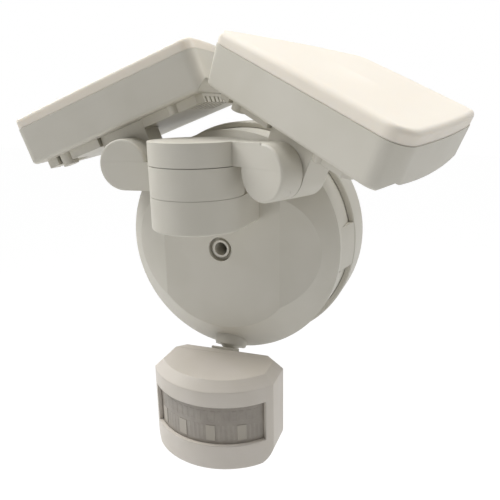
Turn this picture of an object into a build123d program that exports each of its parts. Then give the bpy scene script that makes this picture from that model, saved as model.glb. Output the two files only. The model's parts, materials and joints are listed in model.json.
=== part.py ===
from build123d import *

import os
from math import asin, atan2, cos, degrees, hypot, radians, sin, sqrt, tan

# Twin-head motion sensor security light for a round wall box.
# Frame: millimetres, +Z up, wall plane at y = 0, the front faces -Y, origin at the
# centre of the wall plate on the wall. Left and right are as seen from the front.

# ---- clearances ----
RUN = 0.05               # radial running fit of a shaft or ball in its seat
GAP = 0.3                # gap between bodies that move past each other
FIT = 0.1                # gap between fixed pieces that locate each other
REACH = 200.0            # length of a cutting block that must pass right through

# ---- wall plate ----
PLATE_R = 66.0
PLATE_DEPTH = 22.3
PLATE_WALL = 3.1
PLATE_FLOOR = 3.0
PLATE_EDGE_R = 1.0
BOX_SCREW_SPACING = 88.9
BOX_SCREW_HOLE_R = 2.4
WIRE_HOLE_R = 10.0
WIRE_HOLE_Z = -24.0
GASKET_R_IN = 56.0
GASKET_R_OUT = 61.5
GASKET_DEPTH = 1.6

# ---- mounting bar ----
BAR_WIDTH = 12.0
BAR_THICK = 1.6
BAR_END = 6.5            # bar length past the screw holes
BAR_BOSS_R = 4.6
BAR_BOSS_LENGTH = 4.0
EARTH_SCREW_X = 26.0
EARTH_SCREW_R = 1.6
EARTH_HEAD_R = 3.4
EARTH_HEAD_LENGTH = 2.2

# ---- cover ----
COVER_WALL = 2.2
SKIRT_INSET = 3.4        # skirt inside the plate's outside
SKIRT_R = PLATE_R - SKIRT_INSET
SKIRT_BACK_Y = -6.0
CONE_Y = -45.65          # the skirt turns into the cone here
FACE_Y = -60.6           # flat front of the cover
CONE_INSET = 17.5        # the cone draws in by this from skirt to face
FACE_R = SKIRT_R - CONE_INSET
FACE_EDGE_R = 1.0
BAND_HALF = 34.0         # half width of the flat middle band
FACET_ANGLE = 21.2       # side facets slope back by this
SEAL_WIDTH = 2.6
BOLT_RECESS_R = 6.7
BOLT_RECESS_DEPTH = 3.5
BOLT_LIP_R = 4.9
BOLT_LIP_RISE = 2.4
BOLT_BORE_R = 3.6
BOLT_TUBE_WALL = 2.0
BOLT_TUBE_END_Y = -14.0
BOLT_SEAT_Y = -40.0
BOLT_SHANK_R = 2.4
BOLT_HEAD_R = 3.3
BOLT_HEAD_LENGTH = 3.0
BOLT_CROSS_HALF = 2.5
BOLT_CROSS_WIDTH = 1.5
BOLT_CROSS_DEPTH = 1.5

# ---- side clips ----
CLIP_TOP_Z = 11.3
CLIP_BOTTOM_Z = -13.3
CLIP_FRONT_Y = -41.7
CLIP_SUNK = 0.7          # the clip's front end lies below the skirt
CLIP_BACK_INSET = 0.5    # its back end rises nearly to the plate's outside
CLIP_SLIT = 1.4          # slit in front of the clip
CLIP_FLANGE = 2.2        # the clip's flange reaches this far past its notch
CLIP_FLANGE_THICK = 1.8

# ---- arm stack on the boss ----
STACK_Y = -84.0
STACK_R = 22.9
BOSS_BOTTOM_Z = 17.85
BOSS_EDGE_R = 1.2
BOSS_FLOOR = 2.4
BOSS_TOP = 3.2
RING_LOW_Z = 34.05       # boss top, underside of the lower ring
SPLIT_Z = 48.7           # seam between the rings and between the arm shells
RING_TOP_Z = 59.8
PIVOT_R = 6.0
PIVOT_BORE_R = 4.2
PIVOT_FLANGE_R = 10.0
PIVOT_FLANGE_LENGTH = 2.0
PIVOT_NUT_R = 9.0
PIVOT_NUT_LENGTH = 4.5
PIVOT_WASHER_R = 10.5
PIVOT_WASHER_THICK = 1.0

# ---- arms ----
ARM_WALL = 2.2
ARM_LENGTH = 41.0        # stack axis to tilt axis
KNUCKLE_R = 12.9
KNUCKLE_FACE = 2.6       # flat front of the knuckle, behind the stack axis
KNUCKLE_BACK = 15.3
KNUCKLE_EDGE_R = 1.2
RIGHT_YAW = -25.2
LEFT_YAW = 5.9
ARM_SCREW_SPACING = 17.0
ARM_SCREW_R = 1.2
ARM_SCREW_HEAD_R = 2.2
ARM_SCREW_HEAD_LENGTH = 1.4
ARM_SCREW_POST_R = 3.2
ARM_SCREW_SEAT = 5.4     # screw seat below the tilt axis
ARM_SCREW_REACH = 6.0    # screw tip above the tilt axis
ARM_TONGUE = 3.0         # the ring's plug reaches this far past the seam
TILT_BOLT_R = 3.0
TILT_BORE_R = 1.6
TILT_HEAD_R = 5.0
TILT_HEAD_LENGTH = 3.2
TILT_WASHER_R = 7.0
TILT_WASHER_THICK = 1.0
TILT_NUT_R = 5.5
TILT_NUT_LENGTH = 4.0

# ---- lamps ----
RIGHT_TILT = 23.5        # outer end down
LEFT_TILT = 20.6
LEG_LENGTH = 16.0        # bracket leg along the tilt axis
LEG_R = 13.0
LEG_WALL = 2.2
LEG_CAP_THICK = 2.0
WIRE_BORE_R = 2.5        # wire way from the bracket leg into the tray
TRAY_BACK_H = 18.5       # back of the tray above the tilt axis
TRAY_DEPTH = 19.6
TRAY_SEAM_H = TRAY_BACK_H + TRAY_DEPTH
LENS_RISE = 6.5
LENS_TOP_H = TRAY_SEAM_H + LENS_RISE
LAMP_NEAR_V = 7.1        # long edge away from the wall
LAMP_FAR_V = 84.4
LAMP_NEAR_HALF = 55.0
LAMP_FAR_INNER = -28.0
RIGHT_FAR_OUTER = 41.0
LEFT_FAR_OUTER = 50.0    # the left lamp's end beside the right lamp slants less
LAMP_END_BOW = 2.0
NEAR_INNER_R = 4.0       # plan corners of the right lamp
RIGHT_NEAR_OUTER_R = 10.0
LEFT_NEAR_OUTER_R = 6.5
FAR_OUTER_R = 4.0
FAR_INNER_R = 8.0
LEAST_CORNER_R = 1.0
TRAY_WALL = 2.2
TRAY_FLOOR = 2.4
TRAY_SHELF = 2.2
TRAY_SHELF_DROP = 5.7    # gasket shelf below the seam
TRAY_SHELF_H = TRAY_SEAM_H - TRAY_SHELF_DROP
TRAY_EDGE_R = 2.0
TRAY_END_CUT = 5.0       # slanted cut along the back of the outer end
LENS_WALL = 1.8
LENS_STEP = 0.3
LENS_EDGE_R = 2.5
LENS_DOME_R = 4000.0
LENS_GASKET_THICK = 1.4
LENS_GASKET_WIDTH = 1.8
LED_BOARD_THICK = 1.6
LED_BOARD_INSET = 8.2
LED_SIZE = 3.0
LED_THICK = 0.8
LED_PITCH = 12.0
LED_MARGIN = 12.0
SINK_HEIGHT = 4.6
SINK_INSET = 6.5
SINK_CLEAR = 1.0         # clear strip round the bracket leg
RIGHT_SINK_END = 34.0    # where the slab of the right lamp ends, along u
SINK_CORNER_CUT = 3.0    # cut across the slab's near outer corner
SINK_BOSS_R = 2.8        # half round boss on the slab's near side
SINK_BOSS_INSET = 16.5
FIN_SLOT = 2.4
FIN_PITCH = 6.6
FIN_COUNT = 6
FIN_DEPTH = 3.0
FIN_LENGTH = 10.0
FIN_START = 5.0
BLOCK_BAY = 16.0         # bay of the slab's corner that holds the post and block
POST_R = 4.2
POST_HEIGHT = 6.4
LEG_SCREW_SPACING = 14.0
LEG_SCREW_R = 1.4
LEG_SCREW_HEAD_R = 2.6
LEG_SCREW_HEAD_LENGTH = 1.6

# ---- ball joint of the sensor ----
BALL_Y = -47.9
BALL_Z = -57.7
BALL_R = 7.2
BALL_BORE_R = 2.0
BUSH_THICK = 1.05
CUP_WALL = 1.3
CUP_TILT = 32.0          # the neck leaves the cover this far forward of straight down
CUP_MOUTH = 64.0         # half angle of the cup's mouth
CUP_BOSS_R = 11.5
CUP_BOSS_DEPTH = 5.0
BUSH_BACK_R = 4.4
NECK_R = 4.2
NECK_LENGTH = 17.0
RETAINER_THICK = 3.4
RETAINER_BORE_R = 5.0
RETAINER_SCREW_R = 0.8
RETAINER_SCREW_HEAD_R = 1.4
RETAINER_SCREW_LENGTH = 6.0

# ---- sensor ----
SENSOR_YAW = 2.0
SENSOR_X = 1.0
SENSOR_BACK_Y = -59.0
SENSOR_TOP_Z = -59.9
SENSOR_BOTTOM_Z = -110.1
SENSOR_HALF = 34.5
SENSOR_ARC_R = 41.5
SENSOR_ARC_Y = -57.4
SENSOR_BACK_CHAMFER = 3.0
SENSOR_TOP_CHAMFER = 4.8
SENSOR_CORNER_R = 9.0
SENSOR_EDGE = 1.2
SENSOR_WALL = 2.2
SENSOR_SPLIT_Y = -64.0
WINDOW_TOP_Z = -73.1
WINDOW_BOTTOM_Z = -95.5
WINDOW_HALF_ANGLE = 49.5
FRESNEL_THICK = 1.2
FRESNEL_MARGIN = 1.6
FOOT_HALF = 8.25
FOOT_BACK_Y = -52.5
FOOT_TOP_Z = -67.0
FOOT_BOTTOM_Z = -82.0
FOOT_EDGE_R = 2.5
LUG_THICK = 1.0
LUG_RISE = 1.1
SENSOR_BOARD_THICK = 1.6
SENSOR_BOARD_Y = -72.0
SENSOR_BOARD_HALF = 27.0
PIR_R = 4.6
PIR_LENGTH = 4.2
SENSOR_SCREW_X = 20.0
SENSOR_SCREW_R = 1.4
SENSOR_SCREW_HEAD_R = 2.6
SENSOR_POST_R = 3.4
SENSOR_POST_Z = 10.5     # screws below the sensor's top
DIAL_X = 13.0
DIAL_Y = -80.0
DIAL_R = 4.5
DIAL_FLANGE_R = 6.0
DIAL_FLANGE_THICK = 1.4
DIAL_PROUD = 1.6
DIAL_SLOT = 1.2

# ---- driver ----
DRIVER_X_HALF = 30.0
DRIVER_TOP_Z = -12.5
DRIVER_BOTTOM_Z = -37.0
DRIVER_BOARD_Y = -44.0
DRIVER_BOARD_THICK = 1.6
DRIVER_DEPTH = 19.0
DRIVER_CASE_WALL = 1.5
DRIVER_POST_R = 3.0
DRIVER_SCREW_R = 1.3
DRIVER_SCREW_HEAD_R = 2.4
DRIVER_POST_INSET = 4.0
COIL_WIDTH = 15.0
CAN_R = 4.4
CAN_X = 6.8
CAN_TALL = 11.6
CAN_SHORT = 8.7
CHIP_WIDTH = 6.0
CHIP_THICK = 4.8
TERMINAL_HALF = 14.0
TERMINAL_HEIGHT = 9.0
TERMINAL_DEPTH = 11.0
TERMINAL_Z = 22.0
TERMINAL_WAYS = 3
TERMINAL_HOLE_R = 2.25

nodes = {}


# ---- helpers ----
def block(x0, x1, y0, y1, z0, z1):
    """Box between two corners."""
    centre = ((x0 + x1) / 2, (y0 + y1) / 2, (z0 + z1) / 2)
    return Pos(*centre) * Box(abs(x1 - x0), abs(y1 - y0), abs(z1 - z0))


def rod_y(radius, y0, y1, x=0.0, z=0.0):
    """Cylinder along Y."""
    return Pos(x, (y0 + y1) / 2, z) * Rot(90, 0, 0) * Cylinder(radius, abs(y1 - y0))


def rod_z(radius, z0, z1, x=0.0, y=0.0):
    """Cylinder along Z."""
    return Pos(x, y, (z0 + z1) / 2) * Cylinder(radius, abs(z1 - z0))


def ring_y(outer, inner, y0, y1, x=0.0, z=0.0):
    """Tube along Y."""
    return rod_y(outer, y0, y1, x, z) - rod_y(inner, y0, y1, x, z)


def ring_z(outer, inner, z0, z1, x=0.0, y=0.0):
    """Tube along Z."""
    return rod_z(outer, z0, z1, x, y) - rod_z(inner, z0, z1, x, y)


def hex_rod_y(radius, y0, y1, x=0.0, z=0.0):
    """Hexagonal bar along Y, radius to its corners."""
    face = Plane.XZ * RegularPolygon(radius, 6)
    bar = extrude(face, abs(y1 - y0))
    return Pos(x, max(y0, y1), z) * bar


def hex_rod_z(radius, z0, z1, x=0.0, y=0.0):
    """Hexagonal bar along Z, radius to its corners."""
    return Pos(x, y, z0) * extrude(RegularPolygon(radius, 6), z1 - z0)


def prism(face, h0, h1):
    """Flat outline raised between two heights."""
    return Pos(0, 0, h0) * extrude(face, h1 - h0)


def placed(location, shape):
    """Moves a piece, or each piece of a list."""
    if isinstance(shape, list):
        return [location * piece for piece in shape]
    return location * shape


def mirrored(shape):
    """Left-hand copy of a piece, or of each piece of a list."""
    if isinstance(shape, list):
        return [piece.mirror(Plane.YZ) for piece in shape]
    return shape.mirror(Plane.YZ)


def add_node(name, shape):
    """Stores a finished piece, or a list of like pieces, under its name."""
    nodes[name] = Compound(children=shape) if isinstance(shape, list) else shape


# ---- housing ----
def cover_form(inset, back_y):
    """Outside of the cover pulled in by a wall thickness: skirt, cone, facets."""
    slope = (SKIRT_R - FACE_R) / (CONE_Y - FACE_Y)
    stretch = hypot(1.0, slope)
    skirt_r = SKIRT_R - inset
    turn_y = CONE_Y + inset * (stretch - 1.0) / slope
    face_y = FACE_Y + inset
    face_r = SKIRT_R - (CONE_Y - face_y) * slope - inset * stretch
    outline = [(0, back_y), (skirt_r, back_y), (skirt_r, turn_y), (face_r, face_y), (0, face_y)]
    form = revolve(make_face(Polyline(*outline, close=True)), Axis.Y)
    facet = radians(FACET_ANGLE)
    start_x = BAND_HALF - inset * tan(facet / 2)
    rise = SKIRT_R * tan(facet)
    wedge = [(start_x, face_y), (start_x + SKIRT_R, face_y + rise),
             (start_x + SKIRT_R, face_y - SKIRT_R), (start_x, face_y - SKIRT_R)]
    cutter = extrude(make_face(Polyline(*wedge, close=True)), REACH / 2, both=True)
    return form - cutter - cutter.mirror(Plane.YZ)


def boss_form(radius, low_z, top_z, back_y):
    """D-shaped boss: half round front and straight sides."""
    sides = block(-radius, radius, STACK_Y, back_y, low_z, top_z)
    return rod_z(radius, low_z, top_z, 0, STACK_Y) + sides


def in_cup(shape):
    """Places a shape modelled on the ball's centre, its +Z along the neck."""
    return placed(Pos(0, BALL_Y, BALL_Z) * Rot(180 - CUP_TILT, 0, 0), shape)


def bush_radius():
    """Outer radius of the swivel bush."""
    return BALL_R + RUN + BUSH_THICK


def clip_notch(grow):
    """Block through the skirt where the right clip sits."""
    return block(SKIRT_R / 2, REACH, CLIP_FRONT_Y - grow, -PLATE_FLOOR,
                 CLIP_BOTTOM_Z - grow, CLIP_TOP_Z + grow)


def make_wall_plate():
    """Round plate with a deep rim, box screw holes, wire hole and a gasket groove."""
    disc = rod_y(PLATE_R, -PLATE_DEPTH, 0)
    rim_edge = disc.edges().group_by(Axis.Y)[0]
    plate = fillet(rim_edge, PLATE_EDGE_R)
    plate -= rod_y(PLATE_R - PLATE_WALL, -PLATE_DEPTH, -PLATE_FLOOR)
    plate -= rod_y(WIRE_HOLE_R, -PLATE_FLOOR, 0, 0, WIRE_HOLE_Z)
    for side in (-1, 1):
        plate -= rod_y(BOX_SCREW_HOLE_R, -PLATE_FLOOR, 0, side * BOX_SCREW_SPACING / 2)
    plate -= ring_y(GASKET_R_OUT, GASKET_R_IN, -GASKET_DEPTH, 0)
    add_node("wall_plate", plate)
    add_node("wall_gasket", ring_y(GASKET_R_OUT - FIT, GASKET_R_IN + FIT, -GASKET_DEPTH, 0))


def make_mounting_bar():
    """Steel bar behind the cover that takes the box screws and the cover bolt."""
    half = BOX_SCREW_SPACING / 2 + BAR_END
    front = -PLATE_FLOOR - BAR_THICK
    bar = block(-half, half, front, -PLATE_FLOOR, -BAR_WIDTH / 2, BAR_WIDTH / 2)
    bar += rod_y(BAR_BOSS_R, front - BAR_BOSS_LENGTH, front)
    bar -= rod_y(BOLT_SHANK_R + RUN, front - BAR_BOSS_LENGTH, -PLATE_FLOOR)
    for side in (-1, 1):
        bar -= rod_y(BOX_SCREW_HOLE_R, front, -PLATE_FLOOR, side * BOX_SCREW_SPACING / 2)
    bar -= rod_y(EARTH_SCREW_R + RUN, front, -PLATE_FLOOR, EARTH_SCREW_X)
    add_node("mounting_bar", bar)
    head = rod_y(EARTH_HEAD_R, front - EARTH_HEAD_LENGTH, front, EARTH_SCREW_X)
    add_node("earth_screw", head + rod_y(EARTH_SCREW_R, front, -PLATE_FLOOR, EARTH_SCREW_X))


def add_cup(cover):
    """Adds the ball cup under the cone and cuts its mouth and bush seat."""
    seat_r = bush_radius() + RUN
    cup = in_cup(Sphere(seat_r + CUP_WALL))
    boss = in_cup(rod_z(CUP_BOSS_R, -CUP_BOSS_DEPTH, 0)) & cover_form(0, SKIRT_BACK_Y)
    mouth_length = 2 * (seat_r + CUP_WALL)
    mouth = Cone(0, mouth_length * tan(radians(CUP_MOUTH)), mouth_length)
    cover = cover + cup + boss
    cover -= in_cup(Sphere(seat_r))
    cover -= in_cup(rod_z(seat_r, -CUP_BOSS_DEPTH - seat_r, 0))
    cover -= in_cup(rod_z(CUP_BOSS_R + FIT, -CUP_BOSS_DEPTH - seat_r, -CUP_BOSS_DEPTH))
    return cover - in_cup(Pos(0, 0, mouth_length / 2) * mouth)


def driver_post_places():
    """Corner posts of the driver board, as x and z."""
    x_edge = DRIVER_X_HALF - DRIVER_POST_INSET
    return [(side * x_edge, z) for side in (-1, 1)
            for z in (DRIVER_TOP_Z - DRIVER_POST_INSET, DRIVER_BOTTOM_Z + DRIVER_POST_INSET)]


def make_cover():
    """Faceted cover with the boss, bolt tube, clip notches, ball cup and posts."""
    cover = cover_form(0, SKIRT_BACK_Y)
    face_edges = cover.edges().filter_by(
        lambda edge: abs(edge.center().Y - FACE_Y) < FACE_EDGE_R and abs(edge.center().X) < BAND_HALF)
    cover = fillet(face_edges, FACE_EDGE_R)
    boss = boss_form(STACK_R, BOSS_BOTTOM_Z, RING_LOW_Z, FACE_Y + COVER_WALL)
    low_edges = boss.edges().group_by(Axis.Z)[0].filter_by(
        lambda edge: edge.center().Y < FACE_Y)
    cover += fillet(low_edges, BOSS_EDGE_R)
    cover += rod_y(BOLT_RECESS_R + BOLT_TUBE_WALL, FACE_Y + COVER_WALL, BOLT_TUBE_END_Y)
    cavity = cover_form(COVER_WALL, SKIRT_BACK_Y)
    cavity -= rod_y(BOLT_RECESS_R + BOLT_TUBE_WALL, FACE_Y, BOLT_TUBE_END_Y)
    cover -= cavity
    cover -= boss_form(STACK_R - COVER_WALL, BOSS_BOTTOM_Z + BOSS_FLOOR, RING_LOW_Z - BOSS_TOP,
                       FACE_Y + COVER_WALL)
    cover -= rod_z(PIVOT_R + RUN, BOSS_BOTTOM_Z + BOSS_FLOOR, RING_LOW_Z, 0, STACK_Y)
    cover -= rod_y(BOLT_RECESS_R, FACE_Y, FACE_Y + BOLT_RECESS_DEPTH)
    recess_y = FACE_Y + BOLT_RECESS_DEPTH
    cover += rod_y(BOLT_LIP_R, recess_y - BOLT_LIP_RISE, recess_y)
    cover -= rod_y(BOLT_BORE_R, FACE_Y, BOLT_SEAT_Y)
    cover -= rod_y(BOLT_SHANK_R + RUN, BOLT_SEAT_Y, BOLT_TUBE_END_Y)
    notch = clip_notch(0)
    cover -= notch
    cover -= notch.mirror(Plane.YZ)
    cover = add_cup(cover)
    for x, z in driver_post_places():
        cover += rod_y(DRIVER_POST_R, FACE_Y + COVER_WALL, DRIVER_BOARD_Y, x, z)
        cover -= rod_y(DRIVER_SCREW_R + RUN, FACE_Y + 2 * COVER_WALL, DRIVER_BOARD_Y, x, z)
    add_node("cover", cover)
    seal_out = PLATE_R - PLATE_WALL - FIT
    add_node("cover_seal", ring_y(seal_out, seal_out - SEAL_WIDTH, SKIRT_BACK_Y, -PLATE_FLOOR))


def make_cover_bolt():
    """Long bolt from the bottom of the screw tube into the mounting bar."""
    top = BOLT_SEAT_Y - BOLT_HEAD_LENGTH
    head = rod_y(BOLT_HEAD_R, top, BOLT_SEAT_Y)
    wide = BOLT_CROSS_HALF
    thin = BOLT_CROSS_WIDTH / 2
    floor = top + BOLT_CROSS_DEPTH
    for half_x, half_z in ((wide, thin), (thin, wide)):
        head -= block(-half_x, half_x, top, floor, -half_z, half_z)
    add_node("cover_bolt", head + rod_y(BOLT_SHANK_R, BOLT_SEAT_Y, -PLATE_FLOOR))


def make_side_clips():
    """Wedge-shaped latches in the skirt's notches, each with a flange behind the skirt."""
    inner_r = SKIRT_R - COVER_WALL
    front = CLIP_FRONT_Y + CLIP_SLIT
    back = -PLATE_DEPTH - GAP
    wedge = [(0, front), (SKIRT_R - CLIP_SUNK, front), (PLATE_R - CLIP_BACK_INSET, back), (0, back)]
    body = revolve(make_face(Polyline(*wedge, close=True)), Axis.Y)
    body -= rod_y(inner_r - CLIP_FLANGE_THICK, front, back)
    body &= clip_notch(-FIT)
    tail = ring_y(SKIRT_R, inner_r - CLIP_FLANGE_THICK, back, SKIRT_BACK_Y) & clip_notch(-FIT)
    flange = ring_y(inner_r - FIT, inner_r - CLIP_FLANGE_THICK, CLIP_FRONT_Y - CLIP_FLANGE, SKIRT_BACK_Y)
    flange &= clip_notch(CLIP_FLANGE)
    clip = body + tail + flange
    add_node("side_clip_right", clip)
    add_node("side_clip_left", clip.mirror(Plane.YZ))


def make_driver():
    """Driver board on the cover's posts, its parts, case, screws and supply terminals."""
    board_back = DRIVER_BOARD_Y + DRIVER_BOARD_THICK
    board = block(-DRIVER_X_HALF, DRIVER_X_HALF, DRIVER_BOARD_Y, board_back, DRIVER_BOTTOM_Z, DRIVER_TOP_Z)
    screws = []
    for x, z in driver_post_places():
        board -= rod_y(DRIVER_SCREW_R + RUN, DRIVER_BOARD_Y, board_back, x, z)
        head = rod_y(DRIVER_SCREW_HEAD_R, board_back, board_back + DRIVER_SCREW_HEAD_R, x, z)
        tip = DRIVER_BOARD_Y - 3 * DRIVER_SCREW_HEAD_R
        screws.append(head + rod_y(DRIVER_SCREW_R, tip, board_back, x, z))
    add_node("driver_board", board)
    add_node("board_screws", screws)
    middle = (DRIVER_TOP_Z + DRIVER_BOTTOM_Z) / 2
    inner_half = DRIVER_X_HALF - 2 * DRIVER_POST_INSET
    case_half = inner_half + DRIVER_CASE_WALL
    height = DRIVER_TOP_Z - DRIVER_BOTTOM_Z
    z_half = height / 2 - DRIVER_CASE_WALL
    case_back = board_back + DRIVER_DEPTH
    case = block(-case_half, case_half, board_back, case_back, middle - height / 2, middle + height / 2)
    case -= block(-inner_half, inner_half, board_back, case_back - DRIVER_CASE_WALL,
                  middle - z_half, middle + z_half)
    add_node("driver_case", case)
    room = inner_half - DRIVER_CASE_WALL
    depth = DRIVER_DEPTH - 3 * DRIVER_CASE_WALL
    low, high = middle - z_half / 2, middle + z_half / 2
    coil = block(-room, COIL_WIDTH - room, board_back, board_back + depth, low, high)
    can_low = rod_y(CAN_R, board_back, board_back + CAN_TALL, CAN_X, low)
    can_high = rod_y(CAN_R, board_back, board_back + CAN_SHORT, CAN_X, high)
    chip = block(room - CHIP_WIDTH, room, board_back, board_back + CHIP_THICK, low, high)
    add_node("driver_parts", [coil, can_low, can_high, chip])
    front = -PLATE_FLOOR - TERMINAL_DEPTH
    top_z = TERMINAL_Z + TERMINAL_HEIGHT
    hole_z = TERMINAL_Z + TERMINAL_HEIGHT / 2
    hole_end = front + TERMINAL_DEPTH / 2
    terminal = block(-TERMINAL_HALF, TERMINAL_HALF, front, -PLATE_FLOOR, TERMINAL_Z, top_z)
    pitch = 2 * TERMINAL_HALF / TERMINAL_WAYS
    for way in range(TERMINAL_WAYS):
        x = -TERMINAL_HALF + (way + 0.5) * pitch
        terminal -= rod_y(TERMINAL_HOLE_R, front, hole_end, x, hole_z)
    add_node("terminal_block", terminal)


def make_pivot():
    """Hollow bolt through both rings and the boss, with its washer and nut."""
    flange_low = SPLIT_Z + GAP + ARM_WALL
    boss_under = RING_LOW_Z - BOSS_TOP
    nut_top = boss_under - PIVOT_WASHER_THICK
    bolt = rod_z(PIVOT_FLANGE_R, flange_low, flange_low + PIVOT_FLANGE_LENGTH, 0, STACK_Y)
    bolt += rod_z(PIVOT_R, nut_top - PIVOT_NUT_LENGTH, flange_low, 0, STACK_Y)
    bolt -= rod_z(PIVOT_BORE_R, nut_top - PIVOT_NUT_LENGTH, flange_low + PIVOT_FLANGE_LENGTH, 0, STACK_Y)
    add_node("pivot_bolt", bolt)
    add_node("pivot_washer", ring_z(PIVOT_WASHER_R, PIVOT_R + RUN, nut_top, boss_under, 0, STACK_Y))
    nut = hex_rod_z(PIVOT_NUT_R, nut_top - PIVOT_NUT_LENGTH, nut_top, 0, STACK_Y)
    add_node("pivot_nut", nut - rod_z(PIVOT_R + RUN, nut_top - PIVOT_NUT_LENGTH, nut_top, 0, STACK_Y))


# ---- arms: u = x outwards, v = y towards the wall, origin on the stack axis ----
def hinge_height():
    """Height of the tilt axis: the knuckle's top is flush with the upper ring."""
    return RING_TOP_Z - KNUCKLE_R


def in_arm(shape, side):
    """Places a shape modelled in the right arm's own frame."""
    if side == "left":
        return placed(Pos(0, STACK_Y, 0) * Rot(0, 0, LEFT_YAW), mirrored(shape))
    return placed(Pos(0, STACK_Y, 0) * Rot(0, 0, RIGHT_YAW), shape)


def arm_form(low_z, top_z, inset):
    """Ring, neck and knuckle drum of one arm, pulled in by a wall thickness."""
    front = KNUCKLE_FACE + inset
    back = KNUCKLE_BACK - inset
    drum = rod_y(KNUCKLE_R - inset, front, back, ARM_LENGTH, hinge_height())
    if inset == 0:
        drum = fillet(drum.edges().group_by(Axis.Y)[0], KNUCKLE_EDGE_R)
    ring = rod_z(STACK_R - inset, low_z + inset, top_z - inset)
    neck = block(STACK_R / 2, ARM_LENGTH, front, back, low_z + inset, top_z - inset)
    return ring + neck + drum


def arm_screw_places():
    """Screws that hold the two arm shells, as u and v."""
    middle_v = (KNUCKLE_FACE + KNUCKLE_BACK) / 2
    return [(ARM_LENGTH + side * ARM_SCREW_SPACING / 2, middle_v) for side in (-1, 1)]


def arm_plug(wall_low, tongue_low, tongue_top):
    """Wall of the ring at the seam, carried by the other shell through a tongue."""
    front = KNUCKLE_FACE + ARM_WALL
    back = KNUCKLE_BACK - ARM_WALL
    drum_edge = ARM_LENGTH - KNUCKLE_R
    tongue_end = drum_edge + ARM_WALL + KNUCKLE_EDGE_R / 2
    plug = rod_z(STACK_R - ARM_WALL, wall_low, wall_low + ARM_WALL)
    plug += block(0, tongue_end, front, back, wall_low, wall_low + ARM_WALL)
    tongue_start = drum_edge + KNUCKLE_EDGE_R
    return plug + block(tongue_start, tongue_end, front, back, tongue_low, tongue_top)


def make_arm(side):
    """One arm of two half shells with its screws, tilt bolt, washer and nut."""
    hinge_z = hinge_height()
    upper_ring = side == "right"
    low_z = SPLIT_Z + GAP / 2 if upper_ring else RING_LOW_Z + GAP / 2
    top_z = RING_TOP_Z if upper_ring else SPLIT_Z - GAP / 2
    outside = arm_form(low_z, top_z, 0)
    shell = outside - arm_form(low_z, top_z, ARM_WALL)
    for u, v in arm_screw_places():
        shell += rod_z(ARM_SCREW_POST_R, hinge_z - KNUCKLE_R, RING_TOP_Z, u, v) & outside
    if upper_ring:
        plug = arm_plug(low_z, SPLIT_Z - ARM_TONGUE, low_z + ARM_WALL)
    else:
        plug = arm_plug(top_z - ARM_WALL, top_z - ARM_WALL, SPLIT_Z + ARM_TONGUE)
    shell -= plug
    lower = shell & block(-REACH, REACH, -REACH, REACH, 0, SPLIT_Z)
    upper = shell & block(-REACH, REACH, -REACH, REACH, SPLIT_Z, REACH)
    if upper_ring:
        lower += plug
    else:
        upper += plug
    cutters = [rod_z(PIVOT_R + RUN, 0, SPLIT_Z + GAP + ARM_WALL)]
    cutters.append(rod_y(TILT_BOLT_R + RUN, KNUCKLE_BACK - 2 * ARM_WALL, KNUCKLE_BACK, ARM_LENGTH, hinge_z))
    seat_z = hinge_z - ARM_SCREW_SEAT
    tip_z = hinge_z + ARM_SCREW_REACH
    screws = []
    for u, v in arm_screw_places():
        cutters.append(rod_z(ARM_SCREW_R + RUN, seat_z, tip_z, u, v))
        cutters.append(rod_z(ARM_SCREW_HEAD_R + FIT, RING_LOW_Z - GAP, seat_z, u, v))
        head = rod_z(ARM_SCREW_HEAD_R, seat_z - ARM_SCREW_HEAD_LENGTH, seat_z, u, v)
        screws.append(head + rod_z(ARM_SCREW_R, seat_z, tip_z, u, v))
    for cutter in cutters:
        lower -= cutter
        upper -= cutter
    add_node(f"{side}_arm_lower", in_arm(lower, side))
    add_node(f"{side}_arm_upper", in_arm(upper, side))
    add_node(f"{side}_arm_screws", in_arm(screws, side))
    make_tilt_bolt(side)


def make_tilt_bolt(side):
    """Hollow bolt of the tilt joint with its washer and nut inside the bracket leg."""
    hinge_z = hinge_height()
    seat_v = KNUCKLE_BACK - ARM_WALL
    washer_v = KNUCKLE_BACK + GAP + LEG_WALL + FIT
    nut_v = washer_v + TILT_WASHER_THICK
    end_v = nut_v + TILT_NUT_LENGTH
    bolt = hex_rod_y(TILT_HEAD_R, seat_v - TILT_HEAD_LENGTH, seat_v, ARM_LENGTH, hinge_z)
    bolt += rod_y(TILT_BOLT_R, seat_v, end_v, ARM_LENGTH, hinge_z)
    bolt -= rod_y(TILT_BORE_R, seat_v - TILT_HEAD_LENGTH, end_v, ARM_LENGTH, hinge_z)
    washer = ring_y(TILT_WASHER_R, TILT_BOLT_R + RUN, washer_v, nut_v, ARM_LENGTH, hinge_z)
    nut = hex_rod_y(TILT_NUT_R, nut_v, end_v, ARM_LENGTH, hinge_z)
    nut -= rod_y(TILT_BOLT_R + RUN, nut_v, end_v, ARM_LENGTH, hinge_z)
    add_node(f"{side}_tilt_bolt", in_arm(bolt, side))
    add_node(f"{side}_tilt_washer", in_arm(washer, side))
    add_node(f"{side}_tilt_nut", in_arm(nut, side))


# ---- lamps: u = x outwards, v = y towards the wall, h = z, origin on the tilt axis ----
def in_lamp(shape, side):
    """Places a shape modelled in the right lamp's own frame; both lamps are the same part."""
    tilt = RIGHT_TILT if side == "right" else LEFT_TILT
    if side == "left":
        shape = mirrored(shape)
    return in_arm(placed(Pos(ARM_LENGTH, 0, hinge_height()) * Rot(0, tilt, 0), shape), side)


def far_outer(side):
    """Corner of the lamp's outer end at the wall side, along u."""
    return RIGHT_FAR_OUTER if side == "right" else LEFT_FAR_OUTER


def near_outer_radius(side):
    """Plan radius of the lamp's near outer corner."""
    return RIGHT_NEAR_OUTER_R if side == "right" else LEFT_NEAR_OUTER_R


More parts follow.
